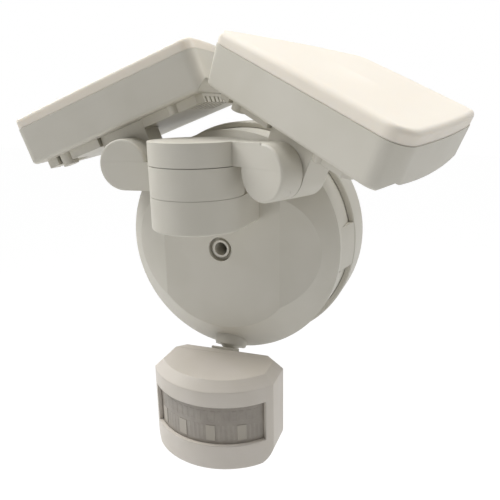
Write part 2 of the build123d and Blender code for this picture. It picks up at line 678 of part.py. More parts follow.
def end_cutter(side, half):
    """Square bar on edge along the back of the lamp's outer end, half its diagonal."""
    rise = LAMP_FAR_V - LAMP_NEAR_V
    run = far_outer(side) - LAMP_NEAR_HALF
    middle = (LAMP_NEAR_HALF + run / 2, LAMP_NEAR_V + rise / 2, TRAY_BACK_H)
    bar = Rot(45, 0, 0) * Box(REACH, half * sqrt(2), half * sqrt(2))
    return Pos(*middle) * Rot(0, 0, degrees(atan2(rise, run))) * bar


def lamp_outline(side, inset):
    """Lamp seen from its lens side: a trapezoid with bowed ends and round corners."""
    near_in = (-LAMP_NEAR_HALF, LAMP_NEAR_V)
    near_out = (LAMP_NEAR_HALF, LAMP_NEAR_V)
    far_out = (far_outer(side), LAMP_FAR_V)
    far_in = (LAMP_FAR_INNER, LAMP_FAR_V)
    middle_v = (LAMP_NEAR_V + LAMP_FAR_V) / 2
    bow_out = ((LAMP_NEAR_HALF + far_outer(side)) / 2 + LAMP_END_BOW, middle_v)
    bow_in = ((-LAMP_NEAR_HALF + LAMP_FAR_INNER) / 2 - LAMP_END_BOW, middle_v)
    edges = [Line(near_in, near_out), ThreePointArc(near_out, bow_out, far_out),
             Line(far_out, far_in), ThreePointArc(far_in, bow_in, near_in)]
    face = make_face(Curve() + edges)
    if inset:
        face = offset(face, amount=-inset)
    corners = ((near_in, NEAR_INNER_R), (near_out, near_outer_radius(side)),
               (far_out, FAR_OUTER_R), (far_in, FAR_INNER_R))
    for place, radius in corners:
        corner = face.vertices().sort_by_distance(Vector(*place))[0]
        face = fillet(corner, max(radius - inset, LEAST_CORNER_R))
    return face


def leg_form(inset, v0, v1):
    """Bracket leg: a half round foot about the tilt axis and straight sides to the tray."""
    radius = LEG_R - inset
    return rod_y(radius, v0, v1) + block(-radius, radius, v0, v1, 0, TRAY_BACK_H - inset)


def leg_screw_places():
    """Screws from the bracket leg into the tray, as u and v."""
    middle_v = KNUCKLE_BACK + GAP + LEG_LENGTH / 2
    return [(side * LEG_SCREW_SPACING / 2, middle_v) for side in (-1, 1)]


def make_bracket(side):
    """Bracket leg, its back cap and the screws into the tray."""
    front = KNUCKLE_BACK + GAP
    back = front + LEG_LENGTH
    leg = leg_form(0, front, back) - leg_form(LEG_WALL, front + LEG_WALL, back)
    leg -= rod_y(TILT_BOLT_R + RUN, front, front + LEG_WALL)
    seat_h = TRAY_BACK_H - LEG_WALL
    middle_v = front + LEG_LENGTH / 2
    leg -= rod_z(WIRE_BORE_R, seat_h, TRAY_BACK_H, 0, middle_v)
    screws = []
    for u, v in leg_screw_places():
        leg -= rod_z(LEG_SCREW_R + RUN, seat_h, TRAY_BACK_H, u, v)
        head = rod_z(LEG_SCREW_HEAD_R, seat_h - LEG_SCREW_HEAD_LENGTH, seat_h, u, v)
        screws.append(head + rod_z(LEG_SCREW_R, seat_h, TRAY_BACK_H + TRAY_FLOOR, u, v))
    add_node(f"{side}_lamp_bracket", in_lamp(leg, side))
    cap = leg_form(LEG_WALL + FIT, back - LEG_CAP_THICK, back)
    add_node(f"{side}_bracket_cap", in_lamp(cap, side))
    add_node(f"{side}_bracket_screws", in_lamp(screws, side))


def tray_post_place():
    """Round post on the tray's back, as u and v, and the far end of the block beside it."""
    bay_start = LAMP_NEAR_HALF - SINK_INSET - BLOCK_BAY
    post_v = LAMP_NEAR_V + SINK_INSET + POST_R + GAP
    return -bay_start - POST_R - 2 * GAP, post_v, 2 * GAP + SINK_INSET - LAMP_NEAR_HALF


def make_tray(side):
    """Lamp housing open towards the lens, with an inner shelf for the gasket."""
    tray = prism(lamp_outline(side, 0), TRAY_BACK_H, TRAY_SEAM_H) - end_cutter(side, TRAY_END_CUT)
    tray = fillet(tray.edges().group_by(Axis.Z)[0], TRAY_EDGE_R)
    tray -= prism(lamp_outline(side, TRAY_WALL), TRAY_SHELF_H, TRAY_SEAM_H)
    well = prism(lamp_outline(side, TRAY_WALL + TRAY_SHELF), TRAY_BACK_H + TRAY_FLOOR, TRAY_SHELF_H)
    tray -= well - end_cutter(side, TRAY_END_CUT + TRAY_WALL * sqrt(2))
    middle_v = KNUCKLE_BACK + GAP + LEG_LENGTH / 2
    tray -= rod_z(WIRE_BORE_R, TRAY_BACK_H, TRAY_BACK_H + TRAY_FLOOR, 0, middle_v)
    for u, v in leg_screw_places():
        tray -= rod_z(LEG_SCREW_R + RUN, TRAY_BACK_H, TRAY_BACK_H + TRAY_FLOOR, u, v)
    post_u, post_v, lug_end = tray_post_place()
    tray += rod_z(POST_R, TRAY_BACK_H - POST_HEIGHT, TRAY_BACK_H, post_u, post_v)
    tray += block(post_u - POST_R - GAP, lug_end, post_v - POST_R, post_v + POST_R,
                  TRAY_BACK_H - SINK_HEIGHT, TRAY_BACK_H)
    add_node(f"{side}_lamp_tray", in_lamp(tray, side))


def make_heat_sink(side):
    """Raised slab on the tray's back with fin slots, a block and a post at its ends."""
    low_h = TRAY_BACK_H - SINK_HEIGHT
    slab = prism(lamp_outline(side, SINK_INSET), low_h, TRAY_BACK_H)
    clear = LEG_R + SINK_CLEAR
    slab -= block(-clear, clear, 0, KNUCKLE_BACK + GAP + LEG_LENGTH + SINK_CLEAR, low_h, TRAY_BACK_H)
    near_v = LAMP_NEAR_V + SINK_INSET
    outer_u = LAMP_NEAR_HALF - SINK_INSET
    slab -= block(-outer_u - SINK_INSET, BLOCK_BAY - outer_u, near_v, near_v + BLOCK_BAY, low_h, TRAY_BACK_H)
    end_u = RIGHT_SINK_END if side == "right" else outer_u
    slab -= block(end_u, LAMP_NEAR_HALF, LAMP_NEAR_V, LAMP_FAR_V, low_h, TRAY_BACK_H)
    slab += rod_z(SINK_BOSS_R, low_h, TRAY_BACK_H, end_u - SINK_BOSS_INSET, near_v + SINK_BOSS_R / 2)
    cut = sqrt(2) * SINK_CORNER_CUT
    slab -= Pos(end_u, near_v, TRAY_BACK_H) * Rot(0, 0, 45) * Box(cut, cut, 2 * SINK_HEIGHT)
    for fin in range(FIN_COUNT):
        v = near_v + FIN_START + fin * FIN_PITCH
        slab -= block(end_u - FIN_LENGTH, end_u, v, v + FIN_SLOT, low_h, low_h + FIN_DEPTH)
    add_node(f"{side}_heat_sink", in_lamp(slab, side))


def led_places(side):
    """Grid of LED centres inside the board's outline, as u and v."""
    rows = int((LAMP_FAR_V - LAMP_NEAR_V - 2 * LED_MARGIN) / LED_PITCH) + 1
    places = []
    for row in range(rows):
        v = LAMP_NEAR_V + LED_MARGIN + row * LED_PITCH
        share = (v - LAMP_NEAR_V) / (LAMP_FAR_V - LAMP_NEAR_V)
        start = -LAMP_NEAR_HALF + share * (LAMP_FAR_INNER + LAMP_NEAR_HALF) + LED_MARGIN
        end = LAMP_NEAR_HALF + share * (far_outer(side) - LAMP_NEAR_HALF) - LED_MARGIN
        count = int((end - start) / LED_PITCH) + 1
        step = (end - start) / (count - 1)
        places += [(start + column * step, v) for column in range(count)]
    return places


def make_light_source(side):
    """LED board on the tray floor with its LEDs."""
    board_h = TRAY_BACK_H + TRAY_FLOOR
    top_h = board_h + LED_BOARD_THICK
    board = prism(lamp_outline(side, LED_BOARD_INSET), board_h, top_h)
    board -= rod_z(WIRE_BORE_R, board_h, top_h, 0, KNUCKLE_BACK + GAP + LEG_LENGTH / 2)
    add_node(f"{side}_led_board", in_lamp(board, side))
    half = LED_SIZE / 2
    wire_v = KNUCKLE_BACK + GAP + LEG_LENGTH / 2
    chips = [block(u - half, u + half, v - half, v + half, top_h, top_h + LED_THICK)
             for u, v in led_places(side) if hypot(u, v - wire_v) > LED_SIZE + WIRE_BORE_R]
    add_node(f"{side}_leds", in_lamp(chips, side))


def make_lens(side):
    """Frosted lens with a slightly domed face, rounded rim and a tongue, and its gasket."""
    middle_u = (LAMP_FAR_INNER + far_outer(side)) / 4
    middle_v = (LAMP_NEAR_V + LAMP_FAR_V) / 2

    def lens_form(inset, base_h):
        dome = Pos(middle_u, middle_v, LENS_TOP_H - LENS_DOME_R) * Sphere(LENS_DOME_R - inset)
        return prism(lamp_outline(side, LENS_STEP + inset), base_h, LENS_TOP_H) & dome

    lens = lens_form(0, TRAY_SEAM_H)
    top_edges = [edge for edge in lens.edges() if edge.center().Z > TRAY_SEAM_H + LENS_EDGE_R]
    lens = fillet(top_edges, LENS_EDGE_R)
    lens -= lens_form(LENS_WALL, TRAY_SEAM_H)
    gasket_top = TRAY_SHELF_H + LENS_GASKET_THICK
    tongue_in = TRAY_WALL + FIT + LENS_WALL
    tongue = prism(lamp_outline(side, TRAY_WALL + FIT), gasket_top, TRAY_SEAM_H)
    tongue -= prism(lamp_outline(side, tongue_in), gasket_top, TRAY_SEAM_H)
    flange = prism(lamp_outline(side, LENS_STEP), TRAY_SEAM_H, TRAY_SEAM_H + LENS_WALL)
    flange -= prism(lamp_outline(side, tongue_in), TRAY_SEAM_H, TRAY_SEAM_H + LENS_WALL)
    add_node(f"{side}_lens", in_lamp(lens + flange + tongue, side))
    gasket = prism(lamp_outline(side, TRAY_WALL + FIT), TRAY_SHELF_H, gasket_top)
    gasket -= prism(lamp_outline(side, TRAY_WALL + FIT + LENS_GASKET_WIDTH), TRAY_SHELF_H, gasket_top)
    add_node(f"{side}_lens_gasket", in_lamp(gasket, side))


def make_lamp(side):
    """One lamp with everything that tilts with it."""
    make_bracket(side)
    make_tray(side)
    make_heat_sink(side)
    make_light_source(side)
    make_lens(side)


# ---- sensor: modelled facing -Y about x = 0, then turned a little on its ball ----
def in_sensor(shape, offset=SENSOR_X):
    """Places a sensor piece: aside by its offset, turned about the ball."""
    return placed(Pos(0, BALL_Y, 0) * Rot(0, 0, SENSOR_YAW) * Pos(offset, -BALL_Y, 0), shape)


def make_ball_joint():
    """Bush in the cup, its retainer with screws, and the ball with neck and foot."""
    outer = bush_radius()
    ball_seat = BALL_R + RUN
    opening = 2 * outer
    mouth = Pos(0, 0, opening / 2) * Cone(0, opening * tan(radians(CUP_MOUTH)), opening)
    bush = Sphere(outer) - Sphere(ball_seat) - mouth - rod_z(BUSH_BACK_R, -2 * outer, 0)
    add_node("swivel_bush", in_cup(bush))
    low = -CUP_BOSS_DEPTH - RETAINER_THICK
    retainer = rod_z(CUP_BOSS_R, low, -CUP_BOSS_DEPTH) - Sphere(outer + RUN)
    retainer -= rod_z(RETAINER_BORE_R, low, -CUP_BOSS_DEPTH)
    screw_ring = (outer + CUP_BOSS_R) / 2
    screws = []
    for side in (-1, 1):
        x = side * screw_ring
        tip = low + RETAINER_SCREW_LENGTH
        retainer -= rod_z(RETAINER_SCREW_R + RUN, low, -CUP_BOSS_DEPTH, x)
        nodes["cover"] -= in_cup(rod_z(RETAINER_SCREW_R + RUN, -CUP_BOSS_DEPTH, tip, x))
        head = rod_z(RETAINER_SCREW_HEAD_R, low - RETAINER_SCREW_R, low, x)
        screws.append(head + rod_z(RETAINER_SCREW_R, low, tip, x))
    add_node("socket_retainer", in_cup(retainer))
    add_node("retainer_screws", in_cup(screws))


def make_swivel():
    """Ball, neck and the foot on the sensor's back, with a lug over its top edge."""
    swivel = in_cup(Sphere(BALL_R) + rod_z(NECK_R, 0, NECK_LENGTH))
    foot = block(-FOOT_HALF, FOOT_HALF, SENSOR_BACK_Y, FOOT_BACK_Y, FOOT_BOTTOM_Z, FOOT_TOP_Z)
    back_edges = foot.edges().group_by(Axis.Y)[-1]
    foot = fillet(back_edges, FOOT_EDGE_R)
    lug_top = SENSOR_TOP_Z + LUG_RISE
    lug = block(-FOOT_HALF, FOOT_HALF, SENSOR_BACK_Y, SENSOR_BACK_Y + LUG_THICK, FOOT_BOTTOM_Z, lug_top)
    swivel = swivel + foot + lug
    swivel &= block(-REACH, REACH, SENSOR_BACK_Y, REACH, -REACH, REACH)
    swivel -= in_cup(rod_z(BALL_BORE_R, -BALL_R, NECK_LENGTH - NECK_R))
    add_node("sensor_swivel", in_sensor(swivel, 0.0))


def sensor_form(inset):
    """Outside of the sensor pulled in by a wall thickness: D plan, chamfered top."""
    half = SENSOR_HALF - inset
    back_y = SENSOR_BACK_Y - inset
    radius = SENSOR_ARC_R - inset
    cut = SENSOR_BACK_CHAMFER - inset * tan(radians(22.5))
    front_y = SENSOR_ARC_Y - sqrt(radius * radius - half * half)
    nose = SENSOR_ARC_Y - radius
    edges = [Line((-half + cut, back_y), (half - cut, back_y)),
             Line((half - cut, back_y), (half, back_y - cut)),
             Line((half, back_y - cut), (half, front_y)),
             ThreePointArc((half, front_y), (0, nose), (-half, front_y)),
             Line((-half, front_y), (-half, back_y - cut)),
             Line((-half, back_y - cut), (-half + cut, back_y))]
    top_z = SENSOR_TOP_Z - inset
    low_z = SENSOR_BOTTOM_Z + inset
    form = prism(make_face(Curve() + edges), low_z, top_z)
    rim = [edge for edge in form.edges()
           if edge.center().Z > top_z - RUN and edge.center().Y < back_y - RUN]
    form = chamfer(rim, SENSOR_TOP_CHAMFER - inset / 2)
    low_rim = [edge for edge in form.edges()
               if edge.center().Z < low_z + RUN and edge.center().Y < back_y - RUN]
    form = chamfer(low_rim, SENSOR_EDGE)
    corner = SENSOR_CORNER_R - inset
    face = Plane.XZ * RectangleRounded(2 * (half + RUN), 2 * (top_z - low_z + RUN), corner)
    shield = extrude(face, REACH / 2, both=True)
    return form & Pos(0, 0, top_z) * shield


def window_sector(outer, inner, top_z, low_z, half_angle):
    """Curved band of the sensor's front about its arc centre."""
    band = ring_z(outer, inner, low_z, top_z, 0, SENSOR_ARC_Y)
    reach = 2 * outer
    side = reach * sin(radians(half_angle))
    depth = reach * cos(radians(half_angle))
    fan = make_face(Polyline((0, SENSOR_ARC_Y), (side, SENSOR_ARC_Y - depth),
                             (-side, SENSOR_ARC_Y - depth), close=True))
    return band & prism(fan, low_z, top_z)


def make_sensor_case():
    """Front shell with the window, back shell with posts, and the screws."""
    shell = sensor_form(0) - sensor_form(SENSOR_WALL)
    middle_z = (SENSOR_TOP_Z + SENSOR_BOTTOM_Z) / 2
    front = shell & block(-REACH, REACH, -REACH, SENSOR_SPLIT_Y, -REACH, REACH)
    back = shell & block(-REACH, REACH, SENSOR_SPLIT_Y, REACH, -REACH, REACH)
    front -= window_sector(REACH / 2, SENSOR_ARC_R / 2, WINDOW_TOP_Z, WINDOW_BOTTOM_Z, WINDOW_HALF_ANGLE)
    board_front = SENSOR_BOARD_Y - SENSOR_BOARD_THICK
    seat_y = SENSOR_BACK_Y - SENSOR_WALL / 2
    screws = []
    for side in (-1, 1):
        x = side * SENSOR_SCREW_X
        z = SENSOR_TOP_Z - SENSOR_POST_Z
        back += rod_y(SENSOR_POST_R, SENSOR_BACK_Y - SENSOR_WALL, SENSOR_BOARD_Y, x, z)
        back -= rod_y(SENSOR_SCREW_R + RUN, seat_y, SENSOR_BOARD_Y, x, z)
        back -= rod_y(SENSOR_SCREW_HEAD_R + FIT, SENSOR_BACK_Y, seat_y, x, z)
        head = rod_y(SENSOR_SCREW_HEAD_R, SENSOR_BACK_Y, seat_y, x, z)
        screws.append(head + rod_y(SENSOR_SCREW_R, seat_y, board_front, x, z))
    for x in (-DIAL_X, DIAL_X):
        front -= rod_z(DIAL_R + GAP, SENSOR_BOTTOM_Z, SENSOR_BOTTOM_Z + SENSOR_WALL, x, DIAL_Y)
    add_node("sensor_front", in_sensor(front))
    add_node("sensor_back", in_sensor(back))
    add_node("sensor_screws", in_sensor(screws))
    lens_r = SENSOR_ARC_R - SENSOR_WALL - FIT
    grown = WINDOW_HALF_ANGLE + degrees(asin(FRESNEL_MARGIN / lens_r))
    lens = window_sector(lens_r, lens_r - FRESNEL_THICK, WINDOW_TOP_Z + FRESNEL_MARGIN,
                         WINDOW_BOTTOM_Z - FRESNEL_MARGIN, grown)
    add_node("fresnel_lens", in_sensor(lens))
    low = middle_z - SENSOR_BOARD_HALF * 0.75
    top = SENSOR_TOP_Z - SENSOR_TOP_CHAMFER - SENSOR_WALL
    board = block(-SENSOR_BOARD_HALF, SENSOR_BOARD_HALF, board_front, SENSOR_BOARD_Y, low, top)
    for side in (-1, 1):
        board -= rod_y(SENSOR_SCREW_R + RUN, board_front, SENSOR_BOARD_Y, side * SENSOR_SCREW_X,
                       SENSOR_TOP_Z - SENSOR_POST_Z)
    add_node("sensor_board", in_sensor(board))
    window_z = (WINDOW_TOP_Z + WINDOW_BOTTOM_Z) / 2
    can = rod_y(PIR_R, board_front - PIR_LENGTH, board_front, 0, window_z)
    add_node("pir_element", in_sensor(can))


def make_dials():
    """Time and range dials in the sensor's underside, held by a flange inside."""
    floor_top = SENSOR_BOTTOM_Z + SENSOR_WALL + FIT
    for name, x in (("time_dial", -DIAL_X), ("range_dial", DIAL_X)):
        dial = rod_z(DIAL_R, SENSOR_BOTTOM_Z - DIAL_PROUD, floor_top, x, DIAL_Y)
        dial += rod_z(DIAL_FLANGE_R, floor_top, floor_top + DIAL_FLANGE_THICK, x, DIAL_Y)
        slot_half = DIAL_SLOT / 2
        dial -= block(x - DIAL_R, x + DIAL_R / 2, DIAL_Y - slot_half, DIAL_Y + slot_half,
                      SENSOR_BOTTOM_Z - DIAL_PROUD, SENSOR_BOTTOM_Z)
        add_node(name, in_sensor(dial))


make_wall_plate()
make_mounting_bar()
make_cover()
make_cover_bolt()
make_side_clips()
make_driver()
make_pivot()
for arm_side in ("left", "right"):
    make_arm(arm_side)
    make_lamp(arm_side)
make_ball_joint()
make_swivel()
make_sensor_case()
make_dials()

os.makedirs("parts", exist_ok=True)
for name, shape in nodes.items():
    export_step(shape, f"parts/{name}.step")
print(len(nodes), "nodes")
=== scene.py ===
"""Looks of a twin-head motion sensor security light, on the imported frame.

The frame is the part's: +Z up, the wall at y = 0, the front faces -Y, and the origin is
the middle of the wall plate on the wall. Blender works in metres. The sizes of the pieces
and of the patterns on them are in millimetres, and the studio's sizes are in metres.
"""
from __future__ import annotations

import json
import logging
import math
from collections.abc import Callable
from dataclasses import dataclass
from enum import Enum, StrEnum

import bpy
from mathutils import Matrix, Vector


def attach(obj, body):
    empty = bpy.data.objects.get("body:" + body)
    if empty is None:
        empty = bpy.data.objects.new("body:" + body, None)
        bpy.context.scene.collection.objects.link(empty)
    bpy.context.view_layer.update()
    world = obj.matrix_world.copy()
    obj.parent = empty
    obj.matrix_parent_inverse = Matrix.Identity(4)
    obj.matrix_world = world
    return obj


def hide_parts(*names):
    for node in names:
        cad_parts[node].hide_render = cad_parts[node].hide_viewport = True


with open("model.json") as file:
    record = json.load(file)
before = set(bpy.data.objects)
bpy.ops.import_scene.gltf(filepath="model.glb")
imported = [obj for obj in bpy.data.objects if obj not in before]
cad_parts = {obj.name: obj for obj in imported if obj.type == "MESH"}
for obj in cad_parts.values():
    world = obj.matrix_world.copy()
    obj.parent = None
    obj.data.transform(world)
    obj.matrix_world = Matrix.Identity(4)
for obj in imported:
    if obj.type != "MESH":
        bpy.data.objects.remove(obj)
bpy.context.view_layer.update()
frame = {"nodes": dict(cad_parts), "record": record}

log = logging.getLogger("security_light")
MM = 0.001
Colour = tuple[float, float, float]
Triple = tuple[float, float, float]
Band = tuple[float, float]


def srgb(red: float, green: float, blue: float) -> Colour:
    """Turns a colour of 0 to 255, as seen on a screen, into linear values.

    Args:
        red: red channel.
        green: green channel.
        blue: blue channel.

    Returns:
        The three linear channels.
    """
    def linear(value: float) -> float:
        """One channel, linear."""
        share = value / 255
        return share / 12.92 if share <= 0.04045 else ((share + 0.055) / 1.055) ** 2.4
    return linear(red), linear(green), linear(blue)


def rgba(colour: Colour) -> tuple[float, float, float, float]:
    """The colour with full alpha, as colour sockets take it."""
    return (*colour, 1.0)


# ---------------------------------------------------------------- shader maths
class Signal:
    """A value in a shader graph whose Python operators add Math nodes."""

    def __init__(self, graph: "Graph", socket: bpy.types.NodeSocket) -> None:
        """Wraps an output socket of a graph."""
        self.graph = graph
        self.socket = socket

    def maths(self, operation: str, *values: "Signal | float") -> "Signal":
        """Adds one Math node.

        Args:
            operation: name of the Math node's operation.
            values: inputs in order, signals or plain numbers.

        Returns:
            The node's output.
        """
        node = self.graph.add("ShaderNodeMath", {"operation": operation}, dict(enumerate(values)))
        return Signal(self.graph, node.outputs[0])

    def __add__(self, other: "Signal | float") -> "Signal":
        """Sum."""
        return self.maths("ADD", self, other)

    def __radd__(self, other: float) -> "Signal":
        """Sum with a number on the left."""
        return self.maths("ADD", other, self)

    def __sub__(self, other: "Signal | float") -> "Signal":
        """Difference."""
        return self.maths("SUBTRACT", self, other)

    def __rsub__(self, other: float) -> "Signal":
        """Difference from a number."""
        return self.maths("SUBTRACT", other, self)

    def __mul__(self, other: "Signal | float") -> "Signal":
        """Product."""
        return self.maths("MULTIPLY", self, other)

    def __rmul__(self, other: float) -> "Signal":
        """Product with a number on the left."""
        return self.maths("MULTIPLY", other, self)

    def clipped(self) -> "Signal":
        """The value kept between 0 and 1."""
        return self.maths("MAXIMUM", 0.0, self.maths("MINIMUM", 1.0, self))

    def ping_pong(self, step: float) -> "Signal":
        """Folds the value up and down between 0 and a step."""
        return self.maths("PINGPONG", self, step)


class Graph:
    """Node tree of a material or a world, with one method that adds any node."""

    def __init__(self, owner: bpy.types.Material | bpy.types.World) -> None:
        """Empties the owner's node tree.

        Args:
            owner: the material or world.
        """
        owner.use_nodes = True
        self.owner = owner
        self.tree = owner.node_tree
        self.tree.nodes.clear()

    @classmethod
    def of_material(cls, name: str) -> "Graph":
        """Graph of a new material."""
        return cls(bpy.data.materials.new(name))

    def add(self, kind: str, settings: dict | None = None,
            sockets: dict | None = None) -> bpy.types.Node:
        """Adds a node.

        Args:
            kind: Blender's type name of the node.
            settings: properties that are set first; "stops" sets a colour ramp's two stops.
            sockets: input sockets by name or number, with values or signals.

        Returns:
            The new node.
        """
        node = self.tree.nodes.new(kind)
        for key, value in (settings or {}).items():
            if key == "stops":
                for element, (place, colour) in zip(node.color_ramp.elements, value):
                    element.position = place
                    element.color = colour
            else:
                setattr(node, key, value)
        for key, value in (sockets or {}).items():
            if isinstance(value, Signal):
                self.tree.links.new(value.socket, node.inputs[key])
            else:
                node.inputs[key].default_value = value
        return node

    def out(self, node: bpy.types.Node, socket: int | str = 0) -> Signal:
        """One output of a node as a signal."""
        return Signal(self, node.outputs[socket])

    def place(self, scale: Triple = (1.0, 1.0, 1.0)) -> Signal:
        """Object coordinates in millimetres, stretched for a pattern.

        Args:
            scale: stretch along each axis.

        Returns:
            The coordinates.
        """
        where = self.out(self.add("ShaderNodeTexCoord"), "Object")
        sizes = tuple(value / MM for value in scale)
        return self.out(self.add("ShaderNodeMapping", {}, {"Vector": where, "Scale": sizes}))

    def noise(self, where: Signal, scale: float, detail: float = 3.0,
              roughness: float = 0.55) -> Signal:
        """Noise from 0 to 1.

        Args:
            where: coordinates in millimetres.
            scale: its cells are about 1 / scale wide.
            detail: how many finer layers lie over it.
            roughness: share of each finer layer.

        Returns:
            The noise.
        """
        sockets = {"Vector": where, "Scale": scale, "Detail": detail, "Roughness": roughness}
        return self.out(self.add("ShaderNodeTexNoise", {}, sockets))

    def cells(self, where: Signal, scale: float) -> Signal:
        """Distance to the nearest point of a pattern of cells."""
        sockets = {"Vector": where, "Scale": scale}
        return self.out(self.add("ShaderNodeTexVoronoi", {"feature": "F1"}, sockets), "Distance")

    def ramp(self, value: Signal, low: float, high: float) -> Signal:
        """Smooth step of a value.

        Args:
            value: the signal.
            low: where the step starts, at 0.
            high: where it ends, at 1.

        Returns:
            The stepped signal.
        """
        stops = [(low, (0, 0, 0, 1)), (high, (1, 1, 1, 1))]
        node = self.add("ShaderNodeValToRGB", {"stops": stops}, {0: value})
        node.color_ramp.interpolation = "EASE"
        return self.out(node)

    def blend(self, share: Signal | float, first: Signal | Colour,
              second: Signal | Colour) -> Signal:
        """Mixes two colours.

        Args:
            share: 0 gives the first colour, 1 the second.
            first: colour or signal.
            second: colour or signal.

        Returns:
            The mixed colour.
        """
        one = first if isinstance(first, Signal) else rgba(first)
        two = second if isinstance(second, Signal) else rgba(second)
        node = self.add("ShaderNodeMix", {"data_type": "RGBA", "blend_type": "MIX"},
                        {0: share, 6: one, 7: two})
        return self.out(node, 2)

    def rounded(self, radius: float) -> Signal:
        """Normal that rounds the edges of the solid by a radius in millimetres."""
        return self.out(self.add("ShaderNodeBevel", {"samples": 6}, {"Radius": radius * MM}))

    def bump(self, height: Signal, depth: float, strength: float,
             normal: Signal | None = None) -> Signal:
        """Bump over an earlier normal.

        Args:
            height: the pattern.
            depth: its depth in millimetres.
            strength: how much of it shows.
            normal: the normal below it.

        Returns:
            The new normal.
        """
        sockets = {"Height": height, "Distance": depth * MM, "Strength": strength}
        if normal is not None:
            sockets["Normal"] = normal
        return self.out(self.add("ShaderNodeBump", {}, sockets))

    def surface(self, sockets: dict) -> bpy.types.Material:
        """Ends the graph in a Principled shader and gives its material."""
        return self.end(self.out(self.add("ShaderNodeBsdfPrincipled", {}, sockets)))

    def end(self, shader: Signal) -> bpy.types.Material | bpy.types.World:
        """Ends the graph in its output node.

        Args:
            shader: the finished shader.

        Returns:
            The material or world that the graph belongs to.
        """
        owner = "World" if isinstance(self.owner, bpy.types.World) else "Material"
        self.add(f"ShaderNodeOutput{owner}", {}, {"Surface": shader})
        return self.owner


# ---------------------------------------------------------------- finishes
@dataclass(frozen=True)
class MouldedPlastic:
    """Matt moulded plastic: fine grain, slow drift of tone, painted shade in hollows, softened
    edges.
    """
    name: str
    colour: Colour
    aged: Colour
    roughness: float = 0.5
    grain: float = 2.2
    grain_depth: float = 0.05
    edge: float = 0.35
    # painted shade in tight corners and joints: its strength, the reach of the ambient occlusion
    # that finds them, and its least share under the flecks
    painted_shade: float = 0.07
    shade_reach: float = 5.0
    shade_least: float = 0.6
    drift_scale: float = 0.035
    drift_band: Band = (0.35, 0.7)
    wave_depth: float = 0.25
    wave_strength: float = 0.3
    fleck_scale: float = 1.4
    fleck_band: Band = (0.56, 0.78)
    fleck_share: float = 0.25
    fleck_shade: float = 0.86
    fleck_rough: float = 0.14
    hollow_band: Band = (0.25, 0.85)
    hollow_rough: float = 0.1
    grain_strength: float = 0.45
    # tint that darkens the aged colour into the painted shade of the hollows
    shade_tint: Colour = (0.62, 0.58, 0.50)
    refraction: float = 1.48

    def make(self) -> bpy.types.Material:
        """Builds the material.

        Returns:
            The material.
        """
        graph = Graph.of_material(self.name)
        where = graph.place()
        drift = graph.noise(where, self.drift_scale, detail=2.0)
        flecks = graph.noise(where, self.fleck_scale, detail=4.0, roughness=0.7)
        grain = graph.noise(where, self.grain, detail=3.0, roughness=0.7)
        tone = graph.blend(graph.ramp(drift, *self.drift_band), self.colour, self.aged)
        shade = tuple(self.fleck_shade * value for value in self.colour)
        tone = graph.blend(graph.ramp(flecks, *self.fleck_band) * self.fleck_share, tone, shade)
        # Painted shade: the colour darkens in tight corners and joints, found by ambient occlusion.
        hollows = self.hollows(graph)
        shade_tint = tuple(value * share for value, share in zip(self.aged, self.shade_tint))
        shade_share = (hollows * self.painted_shade * (self.shade_least + flecks)).clipped()
        tone = graph.blend(shade_share, tone, shade_tint)
        smoothest = self.roughness - self.fleck_rough / 2
        rough = (smoothest + self.fleck_rough * flecks + self.hollow_rough * hollows).clipped()
        waves = graph.bump(drift, self.wave_depth, self.wave_strength, graph.rounded(self.edge))
        normal = graph.bump(grain, self.grain_depth, self.grain_strength, waves)
        return graph.surface({"Base Color": tone, "Roughness": rough, "Normal": normal,
                              "IOR": self.refraction})

    def hollows(self, graph: Graph) -> Signal:
        """Where shade is painted into the colour, found by ambient occlusion.

        Args:
            graph: the finish's graph.

        Returns:
            1 in tight corners and joints, and 0 on open faces.
        """
        reach = {"Distance": self.shade_reach * MM}
        open_air = graph.out(graph.add("ShaderNodeAmbientOcclusion", {"samples": 6}, reach), "AO")
        return 1.0 - graph.ramp(open_air, *self.hollow_band)


@dataclass(frozen=True)
class FrostedLens:
    """Translucent white lens: fine frosting, a warm body and light under the skin."""
    name: str
    colour: Colour
    deep: Colour
    smoothest: float = 0.41
    frost_rough: float = 0.12
    edge: float = 1.2
    cloud_scale: float = 0.02
    cloud_band: Band = (0.35, 0.75)
    cloud_share: float = 0.6
    frost_scale: float = 3.5
    frost_depth: float = 0.03
    frost_strength: float = 0.3
    refraction: float = 1.5
    shine: float = 0.35
    skin: float = 2.5
    skin_share: float = 0.35
    skin_tint: Colour = (1.0, 0.9, 0.75)

    def make(self) -> bpy.types.Material:
        """Builds the material.

        Returns:
            The material.
        """
        graph = Graph.of_material(self.name)
        where = graph.place()
        cloud = graph.noise(where, self.cloud_scale, detail=2.0)
        frost = graph.noise(where, self.frost_scale, detail=2.0, roughness=0.6)
        tone = graph.blend(graph.ramp(cloud, *self.cloud_band) * self.cloud_share, self.colour,
                           self.deep)
        rough = (self.smoothest + self.frost_rough * frost).clipped()
        normal = graph.bump(frost, self.frost_depth, self.frost_strength, graph.rounded(self.edge))
        return graph.surface({"Base Color": tone, "Roughness": rough, "Normal": normal,
                              "IOR": self.refraction, "Specular IOR Level": self.shine,
                              "Subsurface Weight": self.skin_share,
                              "Subsurface Radius": self.skin_tint,
                              "Subsurface Scale": self.skin * MM})


